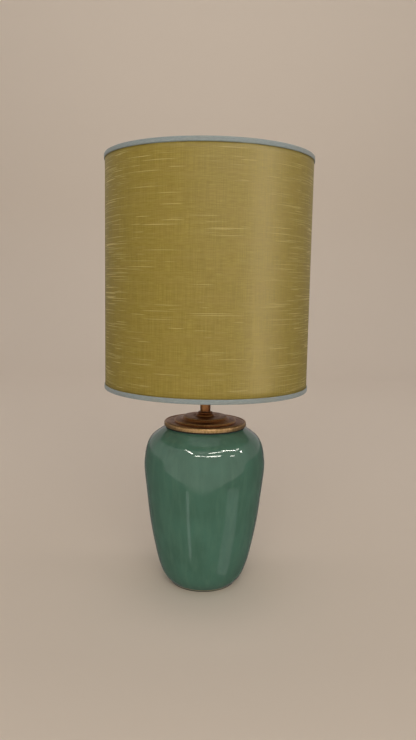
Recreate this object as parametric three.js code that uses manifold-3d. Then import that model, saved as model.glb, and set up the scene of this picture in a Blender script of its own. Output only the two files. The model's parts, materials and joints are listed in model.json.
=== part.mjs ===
// Table lamp with a straight drum shade: a glazed ceramic vase on a felt pad, a stepped brass vase cap, a
// switched E27 lampholder on a threaded rod, an LED filament bulb and a silk shade on a wire carrier.
// Millimetres, +Z up, origin on the resting face under the middle of the foot. The cord outlet is at the
// back, +Y.

import * as THREE from 'three';
import { mergeVertices } from 'three/addons/utils/BufferGeometryUtils.js';
import Module from 'manifold-3d';

const wasm = await Module();
wasm.setup();

// ---------------------------------------------------------------------------------------------------------
// Driving dimensions
// ---------------------------------------------------------------------------------------------------------

const GAP = 0.3; // between pieces that touch
const PIN_PLAY = 0.3; // round a screw or pin in its hole

// Vase
const FELT_T = 1.2;
const VASE_H = 205; // foot to lip
const VASE_R = 76.2; // belly radius
const SHOULDER_H = 56.5; // belly to lip
const FOOT_R = 43;
const FOOT_EDGE = 1.4; // bevel round the foot
const FOOT_INSET = 1.5; // felt edge inside the foot edge
const FOOT_RING_W = 9; // width of the ring that the vase stands on
const RECESS_DEPTH = 15; // hollow under the floor, for the nut
const VASE_WALL = 6.5;
const VASE_FLOOR = 7.5;
const MOUTH_R = 37;
const LIP_INSET = 5.4; // lip radius inside the cap's radius
const LIP_EDGE = 1;

// Vase cap, spun from brass sheet
const CAP_R = 51.6;
const CAP_SHEET = 1.2;
const CAP_RIM_DROP = 5.1; // rim below the top of the outer ring
const CAP_EDGE = 1.4; // rounding over the rim
const CAP_GROOVE_IN = 2.8; // rim to the middle of the groove
const CAP_GROOVE_DEPTH = 0.8;
const CAP_STEP_1_R = 38.4;
const CAP_STEP_1_RISE = 2.3;
const CAP_STEP_2_R = 27.4;
const CAP_STEP_2_RISE = 3;
const CAP_DOME = 1.2; // rise of the ring between the two steps
const GASKET_T = 0.8;
const GASKET_IN = 2; // gasket's bore outside the mouth
const GASKET_SKIRT_T = 1.8; // lip of the gasket that hangs inside the cap's rim
const GASKET_CLEAR = 0.4; // gasket's lip above the shoulder
const DISC_T = 8; // cork disc that centres the rod in the mouth

// Threaded rod M10 x 1 and its fixings
const ROD_R = 5;
const ROD_BORE_R = 3.5;
const ROD_STUB = 1.3; // rod below the nut
const ROD_IN_HOLDER = 10; // rod inside the lampholder cap
const ROD_SLOT_W = 5.6; // side opening that lets the cord into the rod
const ROD_SLOT_H = 14;
const RUBBER_R = 18;
const RUBBER_T = 2;
const WASHER_R = 20;
const WASHER_T = 2;
const LOCK_R = 8.6;
const LOCK_T = 1.7;
const LOCK_CUT = 1.6;
const NUT_FLATS = 17;
const NUT_H = 5;

// Cord outlet through the wall
const OUTLET_H = 32.5; // above the foot
const OUTLET_R = 5; // hole in the wall
const OUTLET_BORE_R = 3.4;
const OUTLET_FLANGE_R = 7.2;
const OUTLET_FLANGE_T = 1.5;
const OUTLET_TAIL = 2; // grommet past the inner wall

// Collar and neck
const COLLAR_R = 11.4;
const COLLAR_H = 5;
const COLLAR_WAIST_R = 8.6;
const COLLAR_EDGE = 0.8; // rounding over the base of the collar
const COLLAR_TOP_EDGE = 0.6;
const COLLAR_TOP_R = 9.2;
const NECK_R = 6.5;
const NECK_H = 11.4;

// Lampholder
const HOLDER_R = 20.2; // thread for the shade rings
const HOLDER_WALL = 2.2;
const HOLDER_CAP_H = 20;
const HOLDER_NECK_R = 9;
const HOLDER_NECK_H = 6;
const HOLDER_DOME_EDGE = 0.8; // shoulder of the dome inside the skirt's radius
const SKIRT_H = 41.8;
const GRUB_R = 1.5;
const GRUB_H = 3.1; // above the bottom of the holder cap
const HOUSING_H = 13;
const HOUSING_DROP = 2.5; // housing inside the holder cap
const SOCKET_T = 6;
const SHELL_R = 13.6; // inside radius at the thread's inner crests
const SHELL_H = 18;
const SHELL_SHEET = 0.6;
const THREAD_DEPTH = 0.9;
const THREAD_PITCH = 3.6;
const TERMINAL = [5, 7, 4.9];
const TERMINAL_Y = 9;
const SCREW_R = 1.4;
const SCREW_HEAD_R = 2.6;
const SCREW_HEAD_H = 1.6;
const TERMINAL_HEAD_R = 2.1;
const SOCKET_SCREW_Y = 9;
const SOCKET_SCREW_L = 10;
const LEAF_T = 0.6;
const LEAF_W = 5;
const LEAF_RISE = 2.6;
const LEAF_IN = 4; // ends of the contact leaf inside the shell

// Push-through switch
const BAR_R = 2.2;
const BAR_REACH = 28; // middle to the end of the bar
const BAR_TRAVEL = 4;
const BAR_H = 7.6; // bar above the bottom of the housing
const BAR_SLOT_PLAY = 0.4;
const NOTCH_W = 4.4;
const BUTTON_R = 3.6;
const BUTTON_L = 6;
const ROCKER_T = 2;
const ROCKER_HUB_R = 2;
const ROCKER_TOOTH_W = 1.6;
const ROCKER_LENGTH = 4.8; // pivot to the tip of the tooth
const ROCKER_PIN_R = 0.8;
const ROCKER_PIN_L = 8;
const PIVOT_DROP = 4.4; // pivot below the bar

// Bulb, A60 with an E27 cap
const BULB_R = 30;
const BULB_H = 107;
const BULB_CAP_R = 13.2;
const BULB_CAP_H = 20; // screwed part of the cap
const BULB_CAP_SHEET = 0.7;
const BULB_TIP_H = 1.4;
const BULB_TIP_R = 4.6;
const BULB_SEAT_H = 4.3; // insulator between tip and cap
const BULB_GLASS_T = 0.8;
const BULB_FLARE_START = 10; // straight neck of the glass
const BULB_FLARE_LOW = 14; // how far the flare keeps the neck's direction
const BULB_FLARE_HIGH = 22; // how far it keeps the ball's
const BULB_NECK_IN = 6; // glass inside the cap
const STEM_R = 4;
const STEM_H = 26;
const STEM_FOOT_H = 3; // flared foot of the stem, and twice as high where it is slim
const FILAMENT_R = 1;
const FILAMENT_L = 32;
const FILAMENT_RING_R = 8.5;
const FILAMENT_TILT = 0.15;
const FILAMENTS = 4;

// Shade
const SHADE_R = 125; // outside of the cloth
const SHADE_H = 279; // over the bindings
const CLOTH_T = 0.5;
const LINING_T = 0.6;
const WIRE_R = 1.5;
const TAPE_T = 0.5;
const TAPE_H = 5.4;
const TAPE_TURN_H = 3.4; // tape on the inside of the edge
const RING_NUT_R = 28;
const RING_NUT_H = 6;
const RING_NUT_GRIPS = 18;
const RING_NUT_GRIP_DEPTH = 0.8;
const RING_NUT_Z = 14.8; // lower ring nut above the bottom of the skirt
const HUB_RIM = 1.8; // hub outside the ring nuts
const HUB_T = 1.5;
const HUB_RISE = 22.3; // hub above the lower edge of the shade
const ARM_R = 1.8;
const ARMS = 3;
const ARM_LEVEL = 12; // level stretch next to the hub
const ARM_TOE = 14; // nearly level stretch next to the wire ring

// Facets
const VASE_SIDES = 32;
const SHADE_SIDES = 48;
const MIDDLE_SIDES = 24;
const SMALL_SIDES = 12;
const VASE_STEPS = 14; // up the side of the vase

// ---------------------------------------------------------------------------------------------------------
// Places that follow from the sizes
// ---------------------------------------------------------------------------------------------------------

const zFoot = FELT_T + GAP;
const bellyH = VASE_H - SHOULDER_H;
const zLip = zFoot + VASE_H;
const zRecess = zFoot + RECESS_DEPTH;
const zFloor = zRecess + VASE_FLOOR;
const lipR = CAP_R - LIP_INSET;
const rodHoleR = ROD_R + PIN_PLAY;

const zGasket = zLip + GAP;
const zCapUnder = zGasket + GASKET_T + GAP; // underside of the cap where it rests
const zCapRing = zCapUnder + CAP_SHEET; // top of the cap's outer ring
const zCapTop = zCapRing + CAP_STEP_1_RISE + CAP_DOME + CAP_STEP_2_RISE;

const zCollar = zCapTop + GAP;
const zNeck = zCollar + COLLAR_H + GAP;
const zHolder = zNeck + NECK_H + GAP;
const zSkirt = zHolder + HOLDER_CAP_H + GAP;
const skirtBoreR = HOLDER_R - HOLDER_WALL;
const zHousing = zHolder + HOLDER_CAP_H - HOUSING_DROP;
const housingR = skirtBoreR - GAP;
const zSocket = zHousing + HOUSING_H + GAP;
const zSocketTop = zSocket + SOCKET_T;
const zShell = zSocketTop + GAP;
const zBar = zHousing + BAR_H;
const barX = -BAR_TRAVEL / 2; // pushed to the left, switched off
const zPivot = zBar - PIVOT_DROP;
const rockerTilt = -Math.asin(BAR_TRAVEL / 2 / ROCKER_LENGTH);

const zBulb = zShell + LEAF_T + LEAF_RISE + GAP;
const zBulbSeat = zBulb + BULB_TIP_H + GAP;
const zBulbCap = zBulbSeat + BULB_SEAT_H + GAP;
const zGlass = zBulbCap + BULB_CAP_H - BULB_NECK_IN;
const zBulbTop = zBulb + BULB_H;
const neckGlassR = BULB_CAP_R - THREAD_DEPTH - BULB_CAP_SHEET - GAP;

const zRingNut = zSkirt + RING_NUT_Z;
const zHub = zRingNut + RING_NUT_H + GAP;
const zUpperNut = zHub + HUB_T + GAP;
const zShade = zHub - HUB_RISE;
const zShadeTop = zShade + SHADE_H;
const hubR = RING_NUT_R + HUB_RIM;
const clothBoreR = SHADE_R - CLOTH_T;
const liningR = clothBoreR - GAP;
const wireRingR = liningR - LINING_T - GAP - WIRE_R;
const zLowWire = zShade + TAPE_T + GAP + WIRE_R;
const zHighWire = zShadeTop - TAPE_T - GAP - WIRE_R;

// ---------------------------------------------------------------------------------------------------------
// Geometry helpers
// ---------------------------------------------------------------------------------------------------------

const point = (r, z) => new THREE.Vector2(r, z);
const at = (geometry, x, y, z) => geometry.translate(x, y, z);

/** Shares vertices and drops the triangles that this closes up. */
function weld(geometry) {
  const bare = geometry.clone();
  bare.deleteAttribute('normal');
  bare.deleteAttribute('uv');
  const merged = mergeVertices(bare);
  const corners = merged.index.array;
  const kept = [];
  for (let i = 0; i < corners.length; i += 3) {
    const [a, b, c] = [corners[i], corners[i + 1], corners[i + 2]];
    if (a !== b && b !== c && c !== a) kept.push(a, b, c);
  }
  merged.setIndex(kept);
  return merged;
}

function solid(geometry) {
  const welded = weld(geometry);
  return new wasm.Manifold(
    new wasm.Mesh({
      numProp: 3,
      vertProperties: new Float32Array(welded.attributes.position.array),
      triVerts: new Uint32Array(welded.index.array),
    }),
  );
}

function geometryOf(body) {
  const mesh = body.getMesh();
  const geometry = new THREE.BufferGeometry();
  geometry.setAttribute('position', new THREE.BufferAttribute(mesh.vertProperties, 3));
  geometry.setIndex(new THREE.BufferAttribute(mesh.triVerts, 1));
  return geometry;
}

const cut = (geometry, ...tools) =>
  geometryOf(tools.reduce((body, tool) => body.subtract(solid(tool)), solid(geometry)));

const join = (...geometries) => geometryOf(geometries.map(solid).reduce((body, next) => body.add(next)));

/** Turns a closed outline of [radius, height] points, given anticlockwise, about Z. */
function turned(outline, sides) {
  const profile = [...outline, outline[0]];
  return new THREE.LatheGeometry(profile, sides).rotateX(Math.PI / 2);
}

function tube(bore, radius, low, height, sides) {
  const high = low + height;
  return turned([point(bore, low), point(radius, low), point(radius, high), point(bore, high)], sides);
}

/** A cylinder whose axis is X, Y or Z, from one end to the other. */
function rod(axis, radius, from, to, sides = SMALL_SIDES) {
  const geometry = new THREE.CylinderGeometry(radius, radius, to - from, sides);
  geometry.translate(0, (from + to) / 2, 0);
  if (axis === 'x') geometry.rotateZ(-Math.PI / 2);
  if (axis === 'z') geometry.rotateX(Math.PI / 2);
  return geometry;
}

/** A block from its lowest corner to its highest. */
function block([x0, y0, z0], [x1, y1, z1]) {
  const geometry = new THREE.BoxGeometry(x1 - x0, y1 - y0, z1 - z0);
  return geometry.translate((x0 + x1) / 2, (y0 + y1) / 2, (z0 + z1) / 2);
}

/** Moves an open outline to the left of its direction. */
function beside(outline, distance) {
  return outline.map((p, i) => {
    const before = outline[Math.max(i - 1, 0)];
    const after = outline[Math.min(i + 1, outline.length - 1)];
    const along = after.clone().sub(before).normalize();
    return point(p.x - along.y * distance, p.y + along.x * distance);
  });
}

/** A quarter round from one point to another, bulging past the corner between them. */
function rounded(from, corner, to, steps = 3) {
  return new THREE.QuadraticBezierCurve(from, corner, to).getPoints(steps);
}

const lamp = new THREE.Group();

function add(name, geometry, [color, roughness, metalness]) {
  const material = new THREE.MeshStandardMaterial({ color, roughness, metalness });
  const mesh = new THREE.Mesh(weld(geometry), material);
  mesh.name = name;
  lamp.add(mesh);
}

// Finishes: colour, roughness, metalness
const GLAZE = ['#4b7f6a', 0.1, 0];
const BRASS = ['#7c6238', 0.35, 1];
const BRIGHT_BRASS = ['#b3924f', 0.35, 1];
const STEEL = ['#a9abad', 0.35, 1];
const RUBBER = ['#1f1f1f', 0.8, 0];
const FELT = ['#3d4a3f', 0.95, 0];
const CORK = ['#a67c52', 0.9, 0];
const BAKELITE = ['#1c1a19', 0.4, 0];
const PORCELAIN = ['#e8e4da', 0.3, 0];
const CLEAR_GLASS = ['#f3f5f5', 0.05, 0];
const CAP_METAL = ['#b9bcbe', 0.35, 1];
const PHOSPHOR = ['#e3b447', 0.6, 0];
const SILK = ['#93843c', 0.6, 0];
const TAPE = ['#8798a0', 0.8, 0];
const LINING = ['#e9e3d2', 0.7, 0];
const WHITE_WIRE = ['#dedad0', 0.5, 0];

// ---------------------------------------------------------------------------------------------------------
// Vase
// ---------------------------------------------------------------------------------------------------------

// The side of the vase as shares of the way from foot to belly and from lip to belly, outwards and upwards
const BELOW_BELLY = [[0.19, 0.057], [0.34, 0.125], [0.515, 0.26], [0.753, 0.53], [0.905, 0.8]];
const ABOVE_BELLY = [
  [0.973, 0.283], [0.907, 0.478], [0.803, 0.619], [0.667, 0.717], [0.467, 0.8], [0.28, 0.867], [0.113, 0.92],
];

function vaseSide() {
  const low = BELOW_BELLY.map(([out, up]) => point(FOOT_R + out * (VASE_R - FOOT_R), zFoot + up * bellyH));
  const foot = point(FOOT_R, zFoot + FOOT_EDGE);
  const belly = point(VASE_R, zFoot + bellyH);
  const high = ABOVE_BELLY.map(([out, up]) => point(lipR + out * (VASE_R - lipR), belly.y + up * SHOULDER_H));
  const curve = new THREE.SplineCurve([foot, ...low, belly, ...high]);
  return curve.getPoints(VASE_STEPS);
}

const side = vaseSide();
const lipSide = rounded(side.at(-1), point(lipR, zLip - 3 * LIP_EDGE), point(lipR, zLip - LIP_EDGE));

/** Everything inside the vase's outer surface, moved outwards, for what lies against that surface. */
function vaseEnvelope(outwards) {
  const moved = beside(side, -outwards);
  return turned([point(0, moved[0].y), ...moved, point(0, moved.at(-1).y)], VASE_SIDES);
}

function vase() {
  const recessR = FOOT_R - FOOT_RING_W;
  const wall = beside(side, VASE_WALL);
  const inner = wall.filter((p) => p.y > zFloor + VASE_WALL / 2 && p.x > MOUTH_R + VASE_WALL).reverse();
  const outline = [
    point(rodHoleR, zRecess),
    point(recessR, zRecess),
    point(recessR, zFoot),
    point(FOOT_R - FOOT_EDGE, zFoot),
    ...side,
    ...lipSide.slice(1),
    point(lipR - LIP_EDGE, zLip),
    point(MOUTH_R, zLip),
    point(MOUTH_R, zLip - DISC_T - GAP),
    ...inner,
    point(inner.at(-1).x - VASE_WALL / 2, zFloor),
    point(rodHoleR, zFloor),
  ];
  const outlet = at(rod('y', OUTLET_R, 0, VASE_R, MIDDLE_SIDES), 0, 0, zFoot + OUTLET_H);
  return cut(turned(outline, VASE_SIDES), outlet);
}

const wallAtOutlet = side.find((p) => p.y > zFoot + OUTLET_H).x;

function cordGrommet() {
  const z = zFoot + OUTLET_H;
  const across = (radius, from, to) => at(rod('y', radius, from, to, MIDDLE_SIDES), 0, 0, z);
  const flange = solid(across(OUTLET_FLANGE_R, 0, VASE_R))
    .intersect(solid(vaseEnvelope(GAP + OUTLET_FLANGE_T)))
    .subtract(solid(vaseEnvelope(GAP)));
  const inside = wallAtOutlet - VASE_WALL - OUTLET_TAIL;
  const sleeve = across(OUTLET_R - GAP, inside, wallAtOutlet + GAP + OUTLET_FLANGE_T / 2);
  const bore = across(OUTLET_BORE_R, 0, VASE_R + OUTLET_FLANGE_T);
  return geometryOf(flange.add(solid(sleeve)).subtract(solid(bore)));
}

add('felt_pad', rod('z', FOOT_R - FOOT_INSET, 0, FELT_T, VASE_SIDES), FELT);
add('vase', vase(), GLAZE);
add('cord_grommet', cordGrommet(), RUBBER);

// ---------------------------------------------------------------------------------------------------------
// Rod and the fixings in the recess under the floor
// ---------------------------------------------------------------------------------------------------------

const zRubber = zRecess - GAP - RUBBER_T;
const zWasher = zRubber - GAP - WASHER_T;
const zLock = zWasher - GAP - LOCK_T;
const zNut = zLock - GAP - NUT_H;
const zRod = zNut - ROD_STUB;
const zRodTop = zHolder + ROD_IN_HOLDER;

function hexNut() {
  const shape = new THREE.Shape();
  const corner = NUT_FLATS / 2 / Math.cos(Math.PI / 6);
  for (let i = 0; i < 6; i++) {
    const turn = (i * Math.PI) / 3;
    const [x, y] = [corner * Math.cos(turn), corner * Math.sin(turn)];
    if (i === 0) shape.moveTo(x, y);
    else shape.lineTo(x, y);
  }
  const hole = new THREE.Path();
  hole.absarc(0, 0, rodHoleR, 0, 2 * Math.PI);
  shape.holes.push(hole);
  const settings = { depth: NUT_H, bevelEnabled: false, curveSegments: SMALL_SIDES / 2 };
  return new THREE.ExtrudeGeometry(shape, settings);
}

function threadedRod() {
  const whole = tube(ROD_BORE_R, ROD_R, zRod, zRodTop - zRod, SMALL_SIDES);
  const z = zFoot + OUTLET_H;
  const slot = block([-ROD_SLOT_W / 2, 0, z], [ROD_SLOT_W / 2, 2 * ROD_R, z + ROD_SLOT_H]);
  return cut(whole, slot);
}

function lockWasher() {
  const ring = tube(rodHoleR, LOCK_R, zLock, LOCK_T, SMALL_SIDES);
  const gap = block([0, -LOCK_CUT / 2, zLock - GAP], [2 * LOCK_R, LOCK_CUT / 2, zLock + LOCK_T + GAP]);
  return cut(ring, gap);
}

add('foot_rubber_washer', tube(rodHoleR, RUBBER_R, zRubber, RUBBER_T, MIDDLE_SIDES), RUBBER);
add('foot_steel_washer', tube(rodHoleR, WASHER_R, zWasher, WASHER_T, MIDDLE_SIDES), STEEL);
add('foot_lock_washer', lockWasher(), STEEL);
add('foot_nut', at(hexNut(), 0, 0, zNut), STEEL);
add('threaded_rod', threadedRod(), STEEL);

// ---------------------------------------------------------------------------------------------------------
// Cap, collar and neck
// ---------------------------------------------------------------------------------------------------------

function vaseCap() {
  const rimIn = CAP_R - CAP_EDGE;
  const grooveR = CAP_R - CAP_GROOVE_IN;
  const ringTop = zCapRing + CAP_STEP_1_RISE;
  const top = [
    point(CAP_R, zCapRing - CAP_RIM_DROP),
    ...rounded(point(CAP_R, zCapRing - CAP_EDGE), point(CAP_R, zCapRing), point(rimIn, zCapRing)),
    point(grooveR, zCapRing - CAP_GROOVE_DEPTH),
    point(grooveR - CAP_EDGE, zCapRing),
    point(CAP_STEP_1_R + CAP_SHEET / 2, zCapRing),
    point(CAP_STEP_1_R, ringTop - CAP_SHEET / 4),
    point(CAP_STEP_1_R - CAP_SHEET / 2, ringTop),
    point(CAP_STEP_2_R + CAP_SHEET / 2, ringTop + CAP_DOME),
    point(CAP_STEP_2_R, zCapTop - CAP_SHEET / 2),
    point(CAP_STEP_2_R - CAP_SHEET / 2, zCapTop),
    point(rodHoleR, zCapTop),
  ];
  const rimBore = CAP_R - CAP_SHEET;
  const under = [
    point(rodHoleR, zCapTop - CAP_SHEET),
    point(CAP_STEP_2_R - 1.5 * CAP_SHEET, zCapTop - CAP_SHEET),
    point(CAP_STEP_2_R - CAP_SHEET, ringTop + CAP_DOME - CAP_SHEET),
    point(CAP_STEP_1_R - 1.5 * CAP_SHEET, ringTop - CAP_SHEET),
    point(CAP_STEP_1_R - CAP_SHEET, zCapUnder),
    point(grooveR - CAP_EDGE - CAP_SHEET / 2, zCapUnder),
    point(grooveR, zCapUnder - CAP_GROOVE_DEPTH),
    point(rimBore, zCapUnder - CAP_GROOVE_DEPTH),
    point(rimBore, zCapRing - CAP_RIM_DROP),
  ];
  return turned([...top, ...under], VASE_SIDES);
}

/** Height of the vase's shoulder at a radius. */
function shoulderHeight(radius) {
  const shoulder = [...side, ...lipSide.slice(1)].filter((p) => p.y > zFoot + bellyH);
  const i = shoulder.findIndex((p) => p.x < radius);
  const [before, after] = [shoulder[i - 1], shoulder[i]];
  return before.y + ((after.y - before.y) * (radius - before.x)) / (after.x - before.x);
}

/** A flat ring on the lip, with a skirt that fills the gap between the cap's rim and the shoulder. */
function capGasket() {
  const outR = CAP_R - CAP_SHEET - GAP;
  const skirtR = outR - GASKET_SKIRT_T;
  const grooveUnder = zCapUnder - CAP_GROOVE_DEPTH - GAP;
  return turned(
    [
      point(MOUTH_R + GASKET_IN, zGasket),
      point(lipR + GAP, zGasket),
      point(skirtR, zGasket - GASKET_T),
      point(skirtR, shoulderHeight(skirtR) + GASKET_CLEAR),
      point(outR, shoulderHeight(outR) + GASKET_CLEAR),
      point(outR, grooveUnder),
      point(skirtR, grooveUnder),
      point(lipR + GAP, zGasket + GASKET_T),
      point(MOUTH_R + GASKET_IN, zGasket + GASKET_T),
    ],
    VASE_SIDES,
  );
}

function collar() {
  const z = (share) => zCollar + share * COLLAR_H;
  const baseEdge = point(COLLAR_R - COLLAR_EDGE, z(0.34));
  return turned(
    [
      point(rodHoleR, z(0)),
      point(COLLAR_R, z(0)),
      point(COLLAR_R, z(0.22)),
      ...rounded(baseEdge, point(COLLAR_WAIST_R, z(0.4)), point(COLLAR_WAIST_R, z(0.7))),
      point(COLLAR_TOP_R, z(0.78)),
      point(COLLAR_TOP_R, z(0.93)),
      point(COLLAR_TOP_R - COLLAR_TOP_EDGE, z(1)),
      point(rodHoleR, z(1)),
    ],
    MIDDLE_SIDES,
  );
}

add('mouth_disc', tube(rodHoleR, MOUTH_R - GAP, zLip - DISC_T, DISC_T, VASE_SIDES), CORK);
add('cap_gasket', capGasket(), RUBBER);
add('vase_cap', vaseCap(), BRASS);
add('collar', collar(), BRASS);
add('neck_sleeve', tube(rodHoleR, NECK_R, zNeck, NECK_H, MIDDLE_SIDES), BRASS);

// ---------------------------------------------------------------------------------------------------------
// Lampholder
// ---------------------------------------------------------------------------------------------------------

function holderCap() {
  const z = (height) => zHolder + height;
  const dome = new THREE.SplineCurve([
    point(HOLDER_NECK_R, z(HOLDER_NECK_H)),
    point((HOLDER_NECK_R + HOLDER_R) / 2, z(0.48 * HOLDER_CAP_H)),
    point(HOLDER_R - HOLDER_DOME_EDGE, z(0.68 * HOLDER_CAP_H)),
    point(HOLDER_R, z(0.85 * HOLDER_CAP_H)),
  ]).getPoints(6);
  const innerDome = beside(dome, HOLDER_WALL).slice(1).reverse();
  const outline = [
    point(rodHoleR, z(0)),
    point(HOLDER_NECK_R, z(0)),
    ...dome,
    point(HOLDER_R, z(HOLDER_CAP_H)),
    point(skirtBoreR, z(HOLDER_CAP_H)),
    ...innerDome,
    point(rodHoleR, innerDome.at(-1).y),
  ];
  const grubHole = at(rod('y', GRUB_R + PIN_PLAY, 0, 2 * HOLDER_NECK_R), 0, 0, z(GRUB_H));
  return cut(turned(outline, MIDDLE_SIDES), grubHole);
}

/** The bar's way through housing and skirt, from side to side. */
const barWay = () => at(rod('x', BAR_R + BAR_SLOT_PLAY, -BAR_REACH, BAR_REACH), 0, 0, zBar);

/** Holes for the two screws that hold the socket block on the housing. */
function socketScrewHoles(low, high) {
  return [-1, 1].map((s) => at(rod('z', SCREW_R + PIN_PLAY, low, high), 0, s * SOCKET_SCREW_Y, 0));
}

function switchHousing() {
  const pocketX = ROCKER_LENGTH + GAP;
  const pocketY = ROCKER_T / 2 + GAP;
  const pocket = block([-pocketX, -pocketY, zHousing - GAP], [pocketX, pocketY, zBar]);
  const pinEnd = ROCKER_PIN_L / 2 + GAP;
  const pinHole = at(rod('y', ROCKER_PIN_R + PIN_PLAY, -pinEnd, pinEnd), 0, 0, zPivot);
  const screwHoles = socketScrewHoles(zSocketTop - SOCKET_SCREW_L - GAP, zSocket);
  const body = rod('z', housingR, zHousing, zHousing + HOUSING_H, MIDDLE_SIDES);
  return cut(body, barWay(), pocket, pinHole, ...screwHoles);
}

function socketBlock() {
  const body = rod('z', housingR, zSocket, zSocketTop, MIDDLE_SIDES);
  return cut(body, ...socketScrewHoles(zSocket - GAP, zSocketTop + GAP));
}

function socketScrew() {
  const shank = rod('z', SCREW_R, zSocketTop - SOCKET_SCREW_L, zSocketTop + GAP + SCREW_HEAD_H / 2);
  const head = rod('z', SCREW_HEAD_R, zSocketTop + GAP, zSocketTop + GAP + SCREW_HEAD_H);
  return join(shank, head);
}

function holderSkirt() {
  const wall = tube(skirtBoreR, HOLDER_R, zSkirt, SKIRT_H, MIDDLE_SIDES);
  return cut(wall, barWay());
}

/** A brass shell with rolled thread rings, its inner crests at the given radius. */
function rolledShell(crestR, low, height, sheet) {
  const turns = Math.floor(height / THREAD_PITCH);
  const outer = [];
  for (let i = 0; i < turns; i++) {
    outer.push(point(crestR + sheet, low + i * THREAD_PITCH));
    outer.push(point(crestR + sheet + THREAD_DEPTH, low + (i + 0.5) * THREAD_PITCH));
  }
  outer.push(point(crestR + sheet, low + turns * THREAD_PITCH), point(crestR + sheet, low + height));
  const bore = [point(crestR, low + height), point(crestR, low)];
  return turned([...outer, ...bore], MIDDLE_SIDES);
}

function centreContact() {
  const half = SHELL_R - LEAF_IN;
  const z = zSocketTop + GAP;
  const shape = new THREE.Shape([
    point(half, z),
    point(half, z + LEAF_T),
    point(half / 2, z + LEAF_T),
    point(LEAF_W / 2, z + LEAF_T + LEAF_RISE),
    point(-LEAF_W / 2, z + LEAF_T + LEAF_RISE),
    point(-LEAF_W / 2, z + LEAF_RISE),
    point(LEAF_W / 2 - LEAF_T / 2, z + LEAF_RISE),
    point(half / 2 - LEAF_T / 2, z),
  ]);
  const strip = new THREE.ExtrudeGeometry(shape, { depth: LEAF_W, bevelEnabled: false });
  return strip.rotateX(Math.PI / 2).translate(0, LEAF_W / 2, 0);
}

function terminal(s) {
  const [x, y, z] = TERMINAL;
  const high = zHousing - GAP;
  const body = block([-x / 2, s * TERMINAL_Y - y / 2, high - z], [x / 2, s * TERMINAL_Y + y / 2, high]);
  return cut(body, at(rod('x', SCREW_R + PIN_PLAY, 0, x), 0, s * TERMINAL_Y, high - z / 2));
}

function terminalScrew(s) {
  const z = zHousing - GAP - TERMINAL[2] / 2;
  const x = TERMINAL[0] / 2 + GAP;
  const shank = rod('x', SCREW_R, GAP, x + SCREW_HEAD_H / 2);
  const head = rod('x', TERMINAL_HEAD_R, x, x + SCREW_HEAD_H);
  return at(join(shank, head), 0, s * TERMINAL_Y, z);
}

add('holder_cap', holderCap(), BAKELITE);
add('grub_screw', at(rod('y', GRUB_R, ROD_R + GAP, HOLDER_NECK_R), 0, 0, zHolder + GRUB_H), STEEL);
add('terminal_live', terminal(-1), BRIGHT_BRASS);
add('terminal_neutral', terminal(1), BRIGHT_BRASS);
add('terminal_screw_live', terminalScrew(-1), BRIGHT_BRASS);
add('terminal_screw_neutral', terminalScrew(1), BRIGHT_BRASS);
add('switch_housing', switchHousing(), BAKELITE);
add('socket_block', socketBlock(), PORCELAIN);
add('socket_screw_front', at(socketScrew(), 0, -SOCKET_SCREW_Y, 0), BRIGHT_BRASS);
add('socket_screw_back', at(socketScrew(), 0, SOCKET_SCREW_Y, 0), BRIGHT_BRASS);
add('centre_contact', centreContact(), BRIGHT_BRASS);
add('screw_shell', rolledShell(SHELL_R, zShell, SHELL_H, SHELL_SHEET), BRIGHT_BRASS);
add('holder_skirt', holderSkirt(), BAKELITE);

// ---------------------------------------------------------------------------------------------------------
// Push-through switch, resting at its left end
// ---------------------------------------------------------------------------------------------------------

function pushBar() {
  const bar = rod('x', BAR_R, -BAR_REACH, BAR_REACH);
  const notchTop = ROCKER_LENGTH - PIVOT_DROP + GAP;
  const notch = block([-NOTCH_W / 2, -2 * BAR_R, -2 * BAR_R], [NOTCH_W / 2, 2 * BAR_R, notchTop]);
  return at(cut(bar, notch), barX, 0, zBar);
}

function pushButton(s) {
  const crown = rounded(point(BUTTON_R, 0.6 * BUTTON_L), point(BUTTON_R, BUTTON_L), point(0, BUTTON_L), 4);
  const outline = [point(0, 0), point(0.8 * BUTTON_R, 0), point(BUTTON_R, 0.15 * BUTTON_L), ...crown];
  const knob = turned(outline, SMALL_SIDES);
  return at(knob.rotateY((s * Math.PI) / 2), barX + s * (BAR_REACH + GAP), 0, zBar);
}

function rocker() {
  const hub = rod('y', ROCKER_HUB_R, -ROCKER_T / 2, ROCKER_T / 2);
  const [w, t] = [ROCKER_TOOTH_W / 2, ROCKER_T / 2];
  const lever = join(hub, block([-w, -t, 0], [w, t, ROCKER_LENGTH]));
  const pinHole = rod('y', ROCKER_PIN_R + PIN_PLAY, -ROCKER_T, ROCKER_T);
  return at(cut(lever, pinHole).rotateY(rockerTilt), 0, 0, zPivot);
}

add('rocker_pin', at(rod('y', ROCKER_PIN_R, -ROCKER_PIN_L / 2, ROCKER_PIN_L / 2), 0, 0, zPivot), STEEL);
add('switch_rocker', rocker(), BRIGHT_BRASS);
add('push_bar', pushBar(), BRIGHT_BRASS);
add('push_button_left', pushButton(-1), BAKELITE);
add('push_button_right', pushButton(1), BAKELITE);

// ---------------------------------------------------------------------------------------------------------
// Bulb
// ---------------------------------------------------------------------------------------------------------

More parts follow.
